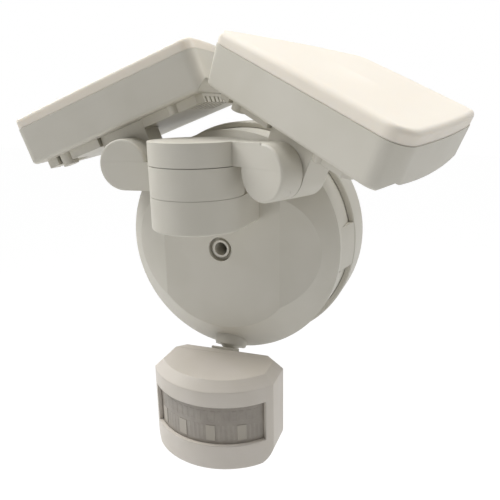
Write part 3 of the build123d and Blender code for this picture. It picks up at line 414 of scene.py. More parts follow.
@dataclass(frozen=True)
class SmokeLens:
    """Thin grey polyethylene window with fine grooves, paler lens blocks and a soft sheen."""
    name: str
    colour: Colour
    pale: Colour
    block: Colour
    smoothest: float = 0.34
    fine_rough: float = 0.16
    edge: float = 0.12
    milk_scale: float = 0.18
    milk_band: Band = (0.3, 0.75)
    fine_scale: float = 2.6
    groove_pitch: float = 0.35
    groove_gain: float = 2.8
    groove_depth: float = 0.04
    groove_strength: float = 0.35
    refraction: float = 1.5
    skin: float = 1.0
    skin_share: float = 0.2
    skin_tint: Colour = (0.6, 0.58, 0.52)

    def make(self) -> bpy.types.Material:
        """Builds the material.

        Returns:
            The material.
        """
        graph = Graph.of_material(self.name)
        where = graph.place()
        milk = graph.noise(where, self.milk_scale, detail=3.0)
        fine = graph.noise(where, self.fine_scale, detail=2.0)
        height = graph.out(graph.add("ShaderNodeSeparateXYZ", {}, {0: where}), 2)
        rows = height.ping_pong(self.groove_pitch) * self.groove_gain
        block = graph.out(graph.add("ShaderNodeAttribute", {"attribute_name": "block"}), "Fac")
        tone = graph.blend(graph.ramp(milk, *self.milk_band), self.colour, self.pale)
        tone = graph.blend(block, tone, self.block)
        rough = (self.smoothest + self.fine_rough * fine).clipped()
        normal = graph.bump(rows, self.groove_depth, self.groove_strength,
                            graph.rounded(self.edge))
        return graph.surface({"Base Color": tone, "Roughness": rough, "Normal": normal,
                              "IOR": self.refraction, "Subsurface Weight": self.skin_share,
                              "Subsurface Radius": self.skin_tint,
                              "Subsurface Scale": self.skin * MM})


@dataclass(frozen=True)
class PlatedMetal:
    """Plated steel: fine brushing and darker clouds."""
    name: str
    colour: Colour
    dark: Colour
    brush: Triple
    roughness: float = 0.34
    edge: float = 0.15
    cloud_scale: float = 0.3
    cloud_band: Band = (0.35, 0.72)
    cloud_rough: float = 0.1
    brush_rough: float = 0.25
    brush_depth: float = 0.02
    brush_strength: float = 0.3

    def make(self) -> bpy.types.Material:
        """Builds the material.

        Returns:
            The material.
        """
        graph = Graph.of_material(self.name)
        lines = graph.noise(graph.place(self.brush), 1.0, detail=3.0, roughness=0.7)
        cloud = graph.noise(graph.place(), self.cloud_scale, detail=3.0)
        tone = graph.blend(graph.ramp(cloud, *self.cloud_band), self.colour, self.dark)
        smoothest = self.roughness - self.cloud_rough
        rough = (smoothest + self.brush_rough * lines + self.cloud_rough * cloud).clipped()
        normal = graph.bump(lines, self.brush_depth, self.brush_strength, graph.rounded(self.edge))
        return graph.surface({"Base Color": tone, "Roughness": rough, "Normal": normal,
                              "Metallic": 1.0})


@dataclass(frozen=True)
class Foam:
    """Closed-cell foam or rubber: small pits in a matt skin."""
    name: str
    colour: Colour
    smoothest: float = 0.75
    cloud_rough: float = 0.2
    pit_scale: float = 1.6
    pit_band: Band = (0.1, 0.6)
    pit_depth: float = 0.12
    pit_strength: float = 0.6
    pale_gain: float = 1.9
    pale_lift: float = 0.01
    cloud_scale: float = 0.2
    cloud_least: float = 0.5
    edge: float = 0.3

    def make(self) -> bpy.types.Material:
        """Builds the material.

        Returns:
            The material.
        """
        graph = Graph.of_material(self.name)
        where = graph.place()
        pits = graph.cells(where, self.pit_scale)
        cloud = graph.noise(where, self.cloud_scale, detail=3.0)
        pale = tuple(value * self.pale_gain + self.pale_lift for value in self.colour)
        share = graph.ramp(pits, *self.pit_band) * (self.cloud_least + cloud)
        tone = graph.blend(share, self.colour, pale)
        rough = (self.smoothest + self.cloud_rough * cloud).clipped()
        normal = graph.bump(pits, self.pit_depth, self.pit_strength, graph.rounded(self.edge))
        return graph.surface({"Base Color": tone, "Roughness": rough, "Normal": normal})


@dataclass(frozen=True)
class CircuitBoard:
    """Board with solder mask, tracks under it and tinned pads."""
    name: str
    mask: Colour
    track: Colour
    tinned: Colour = srgb(196, 192, 178)
    pitch: float = 0.22
    stagger: float = 0.37
    squash: float = 0.7
    track_width: float = 0.08
    track_blur: float = 0.1
    track_height: float = 0.5
    pad_gain: float = 1.5
    pad_band: Band = (0.12, 0.16)
    pad_share: float = 0.9
    smoothest: float = 0.32
    blot_scale: float = 0.9
    blot_rough: float = 0.2
    varnish: float = 0.3
    relief: float = 0.06
    relief_strength: float = 0.5
    edge: float = 0.1

    def make(self) -> bpy.types.Material:
        """Builds the material.

        Returns:
            The material.
        """
        graph = Graph.of_material(self.name)
        where = graph.place()
        bricks = graph.add("ShaderNodeTexBrick", {"offset": self.stagger, "squash": self.squash}, {
            "Vector": where, "Scale": self.pitch,
            "Mortar Size": self.track_width, "Mortar Smooth": self.track_blur,
            "Color1": (0, 0, 0, 1), "Color2": (0, 0, 0, 1), "Mortar": (1, 1, 1, 1)})
        tracks = graph.out(bricks)
        pads = 1.0 - graph.ramp(graph.cells(where, self.pitch * self.pad_gain), *self.pad_band)
        tone = graph.blend(tracks, self.mask, self.track)
        tone = graph.blend(pads * self.pad_share, tone, self.tinned)
        height = tracks * self.track_height + pads
        rough = (self.smoothest + self.blot_rough * graph.noise(where, self.blot_scale)).clipped()
        normal = graph.bump(height, self.relief, self.relief_strength, graph.rounded(self.edge))
        return graph.surface({"Base Color": tone, "Roughness": rough, "Normal": normal,
                              "Coat Weight": self.varnish})


@dataclass(frozen=True)
class Phosphor:
    """Yellow phosphor of the light sources: grains in clear silicone."""
    name: str
    colour: Colour
    deep: Colour
    smoothest: float = 0.25
    grain_scale: float = 4.0
    grain_band: Band = (0.1, 0.7)
    grain_rough: float = 0.2
    grain_depth: float = 0.03
    grain_strength: float = 0.4
    gel: float = 0.5
    gel_rough: float = 0.08
    edge: float = 0.15

    def make(self) -> bpy.types.Material:
        """Builds the material.

        Returns:
            The material.
        """
        graph = Graph.of_material(self.name)
        grains = graph.cells(graph.place(), self.grain_scale)
        tone = graph.blend(graph.ramp(grains, *self.grain_band), self.colour, self.deep)
        rough = (self.smoothest + self.grain_rough * grains).clipped()
        normal = graph.bump(grains, self.grain_depth, self.grain_strength, graph.rounded(self.edge))
        return graph.surface({"Base Color": tone, "Roughness": rough, "Normal": normal,
                              "Coat Weight": self.gel, "Coat Roughness": self.gel_rough})


class Palette:
    """Every finish of the light, made once and handed out by the record's slot name."""

    def __init__(self) -> None:
        """Makes all the materials."""
        warm, warm_aged = srgb(206, 202, 191), srgb(202, 198, 186)
        zinc, zinc_dark = srgb(196, 198, 200), srgb(150, 152, 156)
        finishes = {
            "body_white": MouldedPlastic("body_white", warm, warm_aged),
            "lamp_white": MouldedPlastic("lamp_white", warm, warm_aged),
            "sink_white": MouldedPlastic("sink_white", srgb(202, 198, 187), srgb(196, 191, 178),
                                         roughness=0.42, grain=1.1, grain_depth=0.08),
            "sensor_white": MouldedPlastic("sensor_white", srgb(211, 204, 195), srgb(206, 199, 188),
                                           roughness=0.46, edge=1.0),
            "lens_frosted": FrostedLens("lens_frosted", srgb(238, 230, 217), srgb(235, 226, 212)),
            "fresnel_smoke": SmokeLens("fresnel_smoke", srgb(150, 143, 134), srgb(160, 153, 143),
                                       srgb(174, 167, 155)),
            "gasket": Foam("gasket", srgb(104, 103, 99)),
            "zinc_steel": PlatedMetal("zinc_steel", zinc, zinc_dark, (0.05, 1.0, 3.0)),
            "screw_steel": PlatedMetal("screw_steel", srgb(178, 178, 176), srgb(122, 122, 122),
                                       (2.0, 2.0, 2.0), roughness=0.3),
            "earth_green": MouldedPlastic("earth_green", srgb(38, 112, 58), srgb(30, 92, 48),
                                          roughness=0.35, grain=3.0),
            "board_green": CircuitBoard("board_green", srgb(26, 84, 46), srgb(44, 116, 62)),
            "parts_dark": MouldedPlastic("parts_dark", srgb(38, 38, 42), srgb(52, 50, 52),
                                         roughness=0.4),
            "case_grey": MouldedPlastic("case_grey", srgb(186, 186, 181), srgb(172, 171, 164)),
            "terminal_nylon": MouldedPlastic("terminal_nylon", srgb(212, 207, 192),
                                             srgb(200, 193, 172)),
            "bush_nylon": MouldedPlastic("bush_nylon", srgb(229, 226, 216), srgb(218, 213, 199),
                                         roughness=0.36),
            "pir_can": PlatedMetal("pir_can", srgb(186, 184, 176), srgb(150, 148, 142),
                                   (1.0, 1.0, 1.0)),
            "dial_grey": MouldedPlastic("dial_grey", srgb(206, 200, 188), srgb(190, 183, 169),
                                        roughness=0.42, edge=0.2),
            "led_plate": CircuitBoard("led_plate", srgb(228, 228, 224), srgb(212, 212, 206)),
            "led_phosphor": Phosphor("led_phosphor", srgb(238, 206, 84), srgb(226, 178, 48)),
        }
        self.materials = {name: finish.make() for name, finish in finishes.items()}
        log.info("made %d finishes", len(self.materials))

    def dress(self, piece: bpy.types.Object, slot: str) -> None:
        """Gives a piece one finish."""
        piece.data.materials.clear()
        piece.data.materials.append(self.materials[slot])


# ---------------------------------------------------------------- modelling helpers
class Way(Enum):
    """What a Boolean does with the other piece."""
    CUT = "DIFFERENCE"
    ADD = "UNION"
    SHARED = "INTERSECT"


class Bench:
    """Blender's operators, used as by hand on one piece at a time."""

    @staticmethod
    def clear_hands() -> None:
        """Leaves edit mode and deselects everything."""
        if bpy.context.object and bpy.context.object.mode != "OBJECT":
            bpy.ops.object.mode_set(mode="OBJECT")
        bpy.ops.object.select_all(action="DESELECT")

    @staticmethod
    def leave() -> None:
        """Leaves edit mode."""
        bpy.ops.object.mode_set(mode="OBJECT")

    @staticmethod
    def take(piece: bpy.types.Object) -> None:
        """Selects one piece alone and makes it active.

        Args:
            piece: the piece.
        """
        Bench.clear_hands()
        piece.select_set(True)
        bpy.context.view_layer.objects.active = piece

    @staticmethod
    def pick(piece: bpy.types.Object, test: Callable[[bpy.types.MeshPolygon], bool]) -> None:
        """Opens a piece in edit mode with the faces selected that pass a test.

        Args:
            piece: the mesh being shaped.
            test: takes a face and says whether it is wanted.
        """
        Bench.take(piece)
        bpy.ops.object.mode_set(mode="EDIT")
        bpy.ops.mesh.select_mode(type="FACE")
        bpy.ops.mesh.select_all(action="DESELECT")
        Bench.leave()
        for face in piece.data.polygons:
            face.select = bool(test(face))
        bpy.ops.object.mode_set(mode="EDIT")

    @staticmethod
    def extrude(rise: float) -> None:
        """Extrudes the picked faces along Z, in millimetres."""
        bpy.ops.mesh.extrude_region_move(TRANSFORM_OT_translate={"value": (0, 0, rise * MM)})

    @staticmethod
    def settle(piece: bpy.types.Object, place: Matrix | None = None) -> bpy.types.Object:
        """Ends the shaping: the place goes into the mesh and the object to the origin.

        Args:
            piece: the piece.
            place: where it goes from where it is, if anywhere.

        Returns:
            The piece.
        """
        Bench.take(piece)
        if place is not None:
            piece.matrix_world = place @ piece.matrix_world
        bpy.ops.object.transform_apply(location=True, rotation=True, scale=True)
        return piece

    @staticmethod
    def cylinder(radius: float, depth: float, middle: Triple, points: int) -> bpy.types.Object:
        """Upright cylinder to shape further.

        Args:
            radius: its radius in millimetres.
            depth: its height in millimetres.
            middle: its centre in millimetres.
            points: how many points its circles have.

        Returns:
            The cylinder.
        """
        Bench.clear_hands()
        centre = tuple(value * MM for value in middle)
        bpy.ops.mesh.primitive_cylinder_add(vertices=points, radius=radius * MM, depth=depth * MM,
                                            location=centre)
        return Bench.settle(bpy.context.object)

    @staticmethod
    def block(size: Triple, middle: Triple) -> bpy.types.Object:
        """Block to shape further.

        Args:
            size: its sides in millimetres.
            middle: its centre in millimetres.

        Returns:
            The block.
        """
        Bench.clear_hands()
        bpy.ops.mesh.primitive_cube_add(size=1, location=tuple(value * MM for value in middle))
        piece = bpy.context.object
        piece.scale = tuple(value * MM for value in size)
        return Bench.settle(piece)

    @staticmethod
    def outward(piece: bpy.types.Object, merge: float = 0.00001) -> None:
        """Merges doubled points and turns the faces outwards.

        Args:
            piece: the piece.
            merge: points closer than this are merged, in metres.
        """
        Bench.take(piece)
        bpy.ops.object.mode_set(mode="EDIT")
        bpy.ops.mesh.select_all(action="SELECT")
        bpy.ops.mesh.remove_doubles(threshold=merge)
        bpy.ops.mesh.normals_make_consistent(inside=False)
        Bench.leave()

    @staticmethod
    def bevel(piece: bpy.types.Object, width: float, segments: int = 3,
              angle: float = 30.0) -> None:
        """Rounds the piece's sharp edges with an applied Bevel modifier.

        Args:
            piece: the piece.
            width: width of the round in millimetres.
            segments: how many strips make it.
            angle: least angle of a sharp edge, in degrees.
        """
        Bench.take(piece)
        tool = piece.modifiers.new("edges", "BEVEL")
        tool.width = width * MM
        tool.segments = segments
        tool.limit_method = "ANGLE"
        tool.angle_limit = math.radians(angle)
        bpy.ops.object.modifier_apply(modifier=tool.name)

    @staticmethod
    def smooth(piece: bpy.types.Object, angle: float = 40.0) -> None:
        """Smooth shading up to an angle in degrees between faces."""
        Bench.take(piece)
        bpy.ops.object.shade_smooth_by_angle(angle=math.radians(angle))

    @staticmethod
    def combine(piece: bpy.types.Object, other: bpy.types.Object, way: Way) -> None:
        """Applies a Boolean modifier.

        Args:
            piece: the piece that changes.
            other: the piece that it is combined with, which stays.
            way: what is done with the other piece.
        """
        Bench.take(piece)
        tool = piece.modifiers.new("combine", "BOOLEAN")
        tool.operation = way.value
        tool.solver = "EXACT"
        tool.object = other
        bpy.ops.object.modifier_apply(modifier=tool.name)

    @staticmethod
    def carve(piece: bpy.types.Object, cutter: bpy.types.Object) -> None:
        """Cuts one piece out of another and throws the cutter away."""
        Bench.combine(piece, cutter, Way.CUT)
        bpy.data.objects.remove(cutter)

    @staticmethod
    def join(pieces: list[bpy.types.Object], name: str) -> bpy.types.Object:
        """Joins pieces into the first and names it.

        Args:
            pieces: the pieces to join.
            name: name of the whole.

        Returns:
            The whole.
        """
        Bench.take(pieces[0])
        for piece in pieces:
            piece.select_set(True)
        bpy.ops.object.join()
        pieces[0].name = name
        pieces[0].data.name = name
        return pieces[0]

    @staticmethod
    def copy(piece: bpy.types.Object, place: Matrix) -> bpy.types.Object:
        """Copies a piece, with its own mesh, to another place.

        Args:
            piece: the piece.
            place: where the copy goes from there.

        Returns:
            The copy.
        """
        twin = piece.copy()
        twin.data = piece.data.copy()
        bpy.context.collection.objects.link(twin)
        twin.matrix_world = place @ piece.matrix_world
        return twin


def turned(axis: str, degrees: float) -> Matrix:
    """Rotation about an axis of the frame."""
    return Matrix.Rotation(math.radians(degrees), 4, axis)


def moved(x: float, y: float, z: float) -> Matrix:
    """Shift in millimetres."""
    return Matrix.Translation((x * MM, y * MM, z * MM))


# ---------------------------------------------------------------- places of the sub-assemblies
class Side(StrEnum):
    """The two sides of the light, as seen from the front."""
    LEFT = "left"
    RIGHT = "right"


FACING = 0.9    # share of a face's normal along an axis, above which the face faces that way
UPRIGHT = 0.2   # the same share along Z, below which a face stands upright

# Millimetres and degrees, as in the CAD: the sensor's ball and the arms' stack stand on x = 0.
BALL_Y = -47.9
STACK_Y = -84
SENSOR_PAN = 2.0
SENSOR_SHIFT = 1.0
RIGHT_YAW = -25.2
LEFT_YAW = 5.9
STACK = moved(0, STACK_Y, 0)
SENSOR_PLACE = moved(0, BALL_Y, 0) @ turned("Z", SENSOR_PAN) @ moved(SENSOR_SHIFT, -BALL_Y, 0)
ARM_PLACE = {Side.RIGHT: STACK @ turned("Z", RIGHT_YAW),
             Side.LEFT: STACK @ turned("Z", LEFT_YAW) @ Matrix.Scale(-1, 4, (1, 0, 0))}


@dataclass(frozen=True)
class CrossScrew:
    """Screw with a rounded head, a cross recess and a plain shank that narrows at its tip."""
    head_r: float
    head_length: float
    shank_r: float
    length: float
    points: int = 32
    head_round: float = 0.45
    straight_share: float = 0.86
    tip_share: float = 0.14
    tip_taper: Triple = (0.55, 0.55, 1.0)
    cross_reach: float = 0.62
    cross_width: float = 0.3
    cross_depth: float = 1.1
    cross_taper: Triple = (0.45, 0.7, 1.0)

    def build(self, name: str) -> bpy.types.Object:
        """Builds the screw standing head down, its seat at z = 0 and its tip above.

        Args:
            name: name of the piece.

        Returns:
            The screw, still at the origin.
        """
        head = Bench.cylinder(self.head_r, self.head_length, (0, 0, -self.head_length / 2),
                              self.points)
        Bench.pick(head, lambda face: face.normal.z < -FACING)
        bpy.ops.mesh.bevel(offset=self.head_length * self.head_round * MM, segments=4,
                           affect="EDGES")
        Bench.leave()
        Bench.pick(head, lambda face: face.normal.z > FACING)
        bpy.ops.mesh.inset(thickness=(self.head_r - self.shank_r) * MM)
        Bench.extrude(self.length * self.straight_share)
        Bench.extrude(self.length * self.tip_share)
        bpy.ops.transform.resize(value=self.tip_taper)
        Bench.leave()
        Bench.carve(head, self.recess())
        Bench.outward(head)
        Bench.smooth(head)
        head.name = name
        return head

    def recess(self) -> bpy.types.Object:
        """Cross-shaped cutter for the drive recess, narrowing inwards.

        Returns:
            The cutter.
        """
        size = (self.head_r * 2 * self.cross_reach, self.head_r * self.cross_width,
                self.head_length * self.cross_depth)
        arms = []
        for turn in (0, 90):
            arm = Bench.block(size, (0, 0, -self.head_length))
            Bench.pick(arm, lambda face: face.normal.z > FACING)
            bpy.ops.transform.resize(value=self.cross_taper)
            Bench.leave()
            arms.append(Bench.settle(arm, turned("Z", turn)))
        Bench.combine(arms[0], arms[1], Way.ADD)
        bpy.data.objects.remove(arms[1])
        return arms[0]


# ---------------------------------------------------------------- the sensor
@dataclass(frozen=True)
class CellRow:
    """Lens cells of one row that look alike, with sizes in millimetres.

    low and top bound the row, gap is the half width of the groove round a cell, rise is the height
    of a cell's face over the sheet, and tone says how pale the cells are.
    """
    low: float
    top: float
    gap: float
    rise: float
    tone: float


@dataclass(frozen=True)
class Knob:
    """Sizes of a setting dial, in millimetres and degrees."""
    radius: float = 4.5
    length: float = 3.9
    proud: float = 1.6
    points: int = 48
    slot: Triple = (5.6, 1.2, 2.6)
    slot_x: float = -0.8
    rim_share: float = 0.9
    knurl: float = 7.5
    knurl_gap: float = 0.06
    knurl_depth: float = -0.28
    rim: float = 0.7
    dish: float = 0.35
    flange_r: float = 6.0
    flange_length: float = 1.4
    flange_rise: float = 3.0
    flange_edge: float = 0.2
    edge: float = 0.08


@dataclass(frozen=True)
class Scale:
    """Sizes of the raised marks round a dial, in millimetres and degrees."""
    marks: int = 10
    start: float = -135
    step: float = 30
    radius: float = 6.9
    width: float = 0.5
    sink: float = 0.12
    first: float = 0.5
    growth: float = 0.09
    stretch: float = 1.6
    edge: float = 0.1
    smooth: float = 30


@dataclass
class SensorHead:
    """The sensor's own details: window cells, dials, their scales and back screws."""
    palette: Palette
    arc_r: float = 39.2
    arc_y: float = -57.4
    window_top: float = -73.1
    window_low: float = -95.5
    half_angle: float = 49.5
    margin: float = 1.6
    columns: int = 56
    wall: float = 1.0
    wall_side: float = -1.0
    window_smooth: float = 25
    cells: CellRow = CellRow(-82.4, -76.4, 0.16, 0.12, 0.0)
    cell_starts: range = range(2, 53, 3)
    cell_columns: int = 2
    blocks: CellRow = CellRow(-93.6, -84.6, 0.12, 0.3, 1.0)
    block_starts: range = range(4, 50, 13)
    block_columns: int = 4
    slats: CellRow = CellRow(-93.6, -84.6, 0.1, 0.08, 0.25)
    slat_steps: tuple[int, ...] = (1, 3, 5, 7)
    dial_x: float = 13.0
    dial_y: float = -80.0
    bottom: float = -110.1
    knob: Knob = Knob()
    scale: Scale = Scale()
    screw: CrossScrew = CrossScrew(2.6, 1.1, 1.4, 11.5)
    screw_x: float = 20
    screw_y: float = -60.1
    screw_z: float = -70.4

    def build(self) -> None:
        """Builds and dresses every piece of the sensor."""
        self.window()
        for name, sign in (("time", -1), ("range", 1)):
            self.dial(name, sign * self.dial_x)
            self.scale_marks(name, sign * self.dial_x)
        self.back_screws()

    @property
    def reach(self) -> float:
        """Angle from the window's middle to its hidden edge, in degrees."""
        return self.half_angle + math.degrees(self.margin / self.arc_r)

    def window(self) -> bpy.types.Object:
        """Curved window: a spun sheet, its cells raised row by row, then given a wall.

        Returns:
            The window.
        """
        sheet = self.spun_sheet()
        sheet.data.attributes.new("block", "FLOAT", "FACE")
        cells = [range(start, start + self.cell_columns) for start in self.cell_starts]
        blocks = [range(start, start + self.block_columns) for start in self.block_starts]
        slats = [range(block.stop + step, block.stop + step + 1)
                 for block in blocks for step in self.slat_steps]
        for row, groups in ((self.cells, cells), (self.blocks, blocks), (self.slats, slats)):
            self.raise_cells(sheet, row, groups)
        Bench.take(sheet)
        wall = sheet.modifiers.new("wall", "SOLIDIFY")
        wall.thickness = self.wall * MM
        wall.offset = self.wall_side
        bpy.ops.object.modifier_apply(modifier=wall.name)
        Bench.smooth(sheet, self.window_smooth)
        Bench.settle(sheet, SENSOR_PLACE)
        sheet.name = "sensor_window"
        self.palette.dress(sheet, "fresnel_smoke")
        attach(sheet, "sensor")
        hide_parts("fresnel_lens")
        log.info("sensor window: %d faces", len(sheet.data.polygons))
        return sheet

    def spun_sheet(self) -> bpy.types.Object:
        """Upright profile with a point at each row's edge, spun about the arc.

        Returns:
            The thin sheet, its faces pointing outwards.
        """
        heights = [self.window_low - self.margin, self.window_low, self.blocks.low, self.blocks.top,
                   self.cells.low, self.cells.top, self.window_top, self.window_top + self.margin]
        Bench.clear_hands()
        bpy.ops.mesh.primitive_plane_add(size=1)
        sheet = bpy.context.object
        Bench.take(sheet)
        bpy.ops.object.mode_set(mode="EDIT")
        bpy.ops.mesh.select_mode(type="VERT")
        bpy.ops.mesh.select_all(action="SELECT")
        bpy.ops.mesh.merge(type="CENTER")
        turn = math.radians(self.reach)
        start = (-self.arc_r * math.sin(turn), self.arc_y - self.arc_r * math.cos(turn), heights[0])
        bpy.ops.transform.translate(value=Vector(start) * MM)
        for low, top in zip(heights, heights[1:]):
            rise = {"value": (0, 0, (top - low) * MM)}
            bpy.ops.mesh.extrude_vertices_move(TRANSFORM_OT_translate=rise)
        bpy.ops.mesh.select_all(action="SELECT")
        bpy.ops.mesh.spin(steps=self.columns, angle=-2 * turn, center=(0, self.arc_y * MM, 0),
                          axis=(0, 0, 1))
        Bench.leave()
        Bench.outward(sheet)
        middle = max(sheet.data.polygons, key=lambda face: -face.center.y)
        if middle.normal.y > 0:
            Bench.pick(sheet, lambda face: True)
            bpy.ops.mesh.flip_normals()
            Bench.leave()
        return sheet

    def raise_cells(self, sheet: bpy.types.Object, row: CellRow, groups: list[range]) -> None:
        """Raises lens cells and writes their tone to the sheet's "block" attribute.

        Args:
            sheet: the curved sheet.
            row: the cells' row and sizes.
            groups: columns of the sheet in each cell.
        """
        step = 2 * self.reach / self.columns

        def column(face: bpy.types.MeshPolygon) -> int:
            """Column of a face, counted from the left end."""
            angle = math.degrees(math.atan2(face.center.x, self.arc_y * MM - face.center.y))
            return round(angle / step + (self.columns - 1) / 2)

        for group in groups:
            Bench.pick(sheet, lambda face: row.low * MM < face.center.z < row.top * MM
                       and column(face) in group and abs(face.normal.z) < UPRIGHT)
            bpy.ops.mesh.inset(thickness=row.gap * MM, depth=row.rise * MM)
            Bench.leave()
            values = sheet.data.attributes["block"].data
            for face in sheet.data.polygons:
                if face.select:
                    values[face.index].value = row.tone

    def dial(self, name: str, x: float) -> bpy.types.Object:
        """Setting dial with a knurled rim, a dished face and a driver slot off its centre.

        Args:
            name: what the dial sets.
            x: its place across the sensor.

        Returns:
            The dial.
        """
        knob = self.knob
        face_z = self.bottom - knob.proud

        def knurled(face: bpy.types.MeshPolygon) -> bool:
            """Picks the grooves of the knurl.

            Args:
                face: a face of the dial.

            Returns:
                Whether it is one of every second face of the rim.
            """
            turn = math.degrees(math.atan2(face.center.y, face.center.x)) / knob.knurl - 0.5
            on_rim = (abs(face.normal.z) < UPRIGHT
                      and face.center.xy.length > knob.rim_share * knob.radius * MM)
            return on_rim and int(round(turn)) % 2 == 0

        dial = Bench.cylinder(knob.radius, knob.length, (0, 0, face_z + knob.length / 2),
                              knob.points)
        Bench.carve(dial, Bench.block(knob.slot, (knob.slot_x, 0, face_z)))
        Bench.pick(dial, knurled)
        bpy.ops.mesh.inset(thickness=knob.knurl_gap * MM, depth=knob.knurl_depth * MM,
                           use_individual=True)
        Bench.leave()
        Bench.pick(dial, lambda face: face.normal.z < -FACING)
        bpy.ops.mesh.inset(thickness=knob.rim * MM)
        Bench.extrude(knob.dish)
        Bench.leave()
        flange = Bench.cylinder(knob.flange_r, knob.flange_length,
                                (0, 0, self.bottom + knob.flange_rise), knob.points)
        Bench.bevel(flange, knob.flange_edge)
        Bench.outward(dial)
        Bench.bevel(dial, knob.edge, 2)
        dial = Bench.join([dial, flange], f"{name}_knob")
        Bench.settle(dial, SENSOR_PLACE @ moved(x, self.dial_y, 0))
        Bench.smooth(dial)
        self.palette.dress(dial, "dial_grey")
        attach(dial, f"{name}_dial")
        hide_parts(f"{name}_dial")
        log.info("%s dial", name)
        return dial

    def scale_marks(self, name: str, x: float) -> bpy.types.Object:
        """Raised marks round a dial, growing from the low to the high end.

        Args:
            name: what the dial sets.
            x: its place across the sensor.

        Returns:
            The marks.
        """
        scale = self.scale
        marks = []
        for count in range(scale.marks):
            size = scale.first + scale.growth * count
            mark = Bench.block((scale.width, size * scale.stretch, scale.width),
                               (0, scale.radius, self.bottom - scale.sink))
            Bench.bevel(mark, scale.edge, 2)
            marks.append(Bench.settle(mark, turned("Z", scale.start + count * scale.step)))
        ring = Bench.join(marks, f"{name}_scale")
        Bench.settle(ring, SENSOR_PLACE @ moved(x, self.dial_y, 0))
        Bench.smooth(ring, scale.smooth)
        self.palette.dress(ring, "sensor_white")
        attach(ring, "sensor")
        log.info("%s scale: %d marks", name, len(marks))
        return ring

    def back_screws(self) -> bpy.types.Object:
        """Two cross-head screws that close the case from behind.

        Returns:
            The two screws as one piece.
        """
        screw = self.screw.build("sensor_case_screws")
        stand = moved(0, self.screw_y, self.screw_z) @ turned("X", 90)
        twin = Bench.copy(screw, moved(self.screw_x, 0, 0) @ stand)
        Bench.settle(screw, moved(-self.screw_x, 0, 0) @ stand)
        pair = Bench.join([screw, Bench.settle(twin)], "sensor_case_screws")
        Bench.settle(pair, SENSOR_PLACE)
        self.palette.dress(pair, "screw_steel")
        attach(pair, "sensor")
        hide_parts("sensor_screws")
        log.info("sensor case screws")
        return pair


# ---------------------------------------------------------------- arms and housing
@dataclass
class Arm:
    """One arm's shell screws and the plugs that hide them in the drum's underside."""
    palette: Palette
    side: Side
    drum_u: float = 41.0
    drum_z: float = 46.9
    drum_r: float = 12.85
    drum_width: float = 40
    drum_points: int = 96
    screw: CrossScrew = CrossScrew(2.2, 1.4, 1.2, 11.3)
    screw_u: float = 8.5
    screw_v: float = 8.95
    seat: float = 41.5
    plug_r: float = 2.25
    plug_length: float = 5
    plug_z: float = 37.4
    plug_edge: float = 0.2
    plug_points: int = 40

    def build(self) -> None:
        """Builds and dresses the arm's pieces."""
        self.screws()
        self.plugs()

    def screws(self) -> bpy.types.Object:
        """Two cross-head screws that hold the arm's shells together from below.

        Returns:
            The two screws as one piece.
        """
        screw = self.screw.build(f"{self.side}_shell_screws")
        twin = Bench.copy(screw, moved(self.drum_u + self.screw_u, self.screw_v, self.seat))
        Bench.settle(screw, moved(self.drum_u - self.screw_u, self.screw_v, self.seat))
        pair = Bench.join([screw, Bench.settle(twin)], f"{self.side}_shell_screws")
        self.fit(pair, "screw_steel")
        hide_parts(f"{self.side}_arm_screws")
        return pair

    def plugs(self) -> bpy.types.Object:
        """Round plugs over the screw heads, cut to the drum's curve.

        Returns:
            The two plugs as one piece.
        """
        drum = Bench.cylinder(self.drum_r, self.drum_width, (0, 0, 0), self.drum_points)
        Bench.settle(drum, moved(self.drum_u, 0, self.drum_z) @ turned("X", 90))
        plugs = []
        for sign in (-1, 1):
            middle = (self.drum_u + sign * self.screw_u, self.screw_v, self.plug_z)
            plug = Bench.cylinder(self.plug_r, self.plug_length, middle, self.plug_points)
            Bench.bevel(plug, self.plug_edge, 2)
            Bench.combine(plug, drum, Way.SHARED)
            plugs.append(plug)
        bpy.data.objects.remove(drum)
        pair = Bench.join(plugs, f"{self.side}_screw_plugs")
        self.fit(pair, "body_white")
        return pair

    def fit(self, piece: bpy.types.Object, slot: str) -> None:
        """Puts a piece at the arm, dresses it and lets it ride on the arm.

        Args:
            piece: the piece.
            slot: its slot in the record.
        """
        Bench.settle(piece, ARM_PLACE[self.side])
        Bench.outward(piece)
        Bench.smooth(piece)
        self.palette.dress(piece, slot)
        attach(piece, f"{self.side}_arm")
        log.info("%s", piece.name)


@dataclass
class Housing:
    """The housing's own details: the bolt down the cover's screw tube."""
    palette: Palette
    screw: CrossScrew = CrossScrew(3.3, 3.0, 2.4, 37.0)
    seat_y: float = -40

    def build(self) -> bpy.types.Object:
        """Builds the cover bolt.

        Returns:
            The bolt.
        """
        bolt = self.screw.build("cover_long_bolt")
        Bench.settle(bolt, moved(0, self.seat_y, 0) @ turned("X", -90))
        self.palette.dress(bolt, "screw_steel")
        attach(bolt, "housing")
        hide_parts("cover_bolt")
        log.info("cover bolt")
        return bolt


# ---------------------------------------------------------------- studio
@dataclass(frozen=True)
class SoftLamp:
    """Square soft lamp that faces the object, with its place and side in metres."""
    name: str
    place: Triple
    power: float
    side: float = 0.7
    aim: Triple = (0.0, -0.06, 0.0)

    def build(self) -> bpy.types.Object:
        """Hangs the lamp.

        Returns:
            The lamp.
        """
        data = bpy.data.lights.new(f"studio_{self.name}", "AREA")
        data.size = self.side
        data.energy = self.power
        lamp = bpy.data.objects.new(f"studio_{self.name}", data)
        bpy.context.collection.objects.link(lamp)
        lamp.location = self.place
        ahead = Vector(self.aim) - Vector(self.place)
        lamp.rotation_euler = ahead.to_track_quat("-Z", "Y").to_euler()
        lamp.visible_camera = False
        return lamp


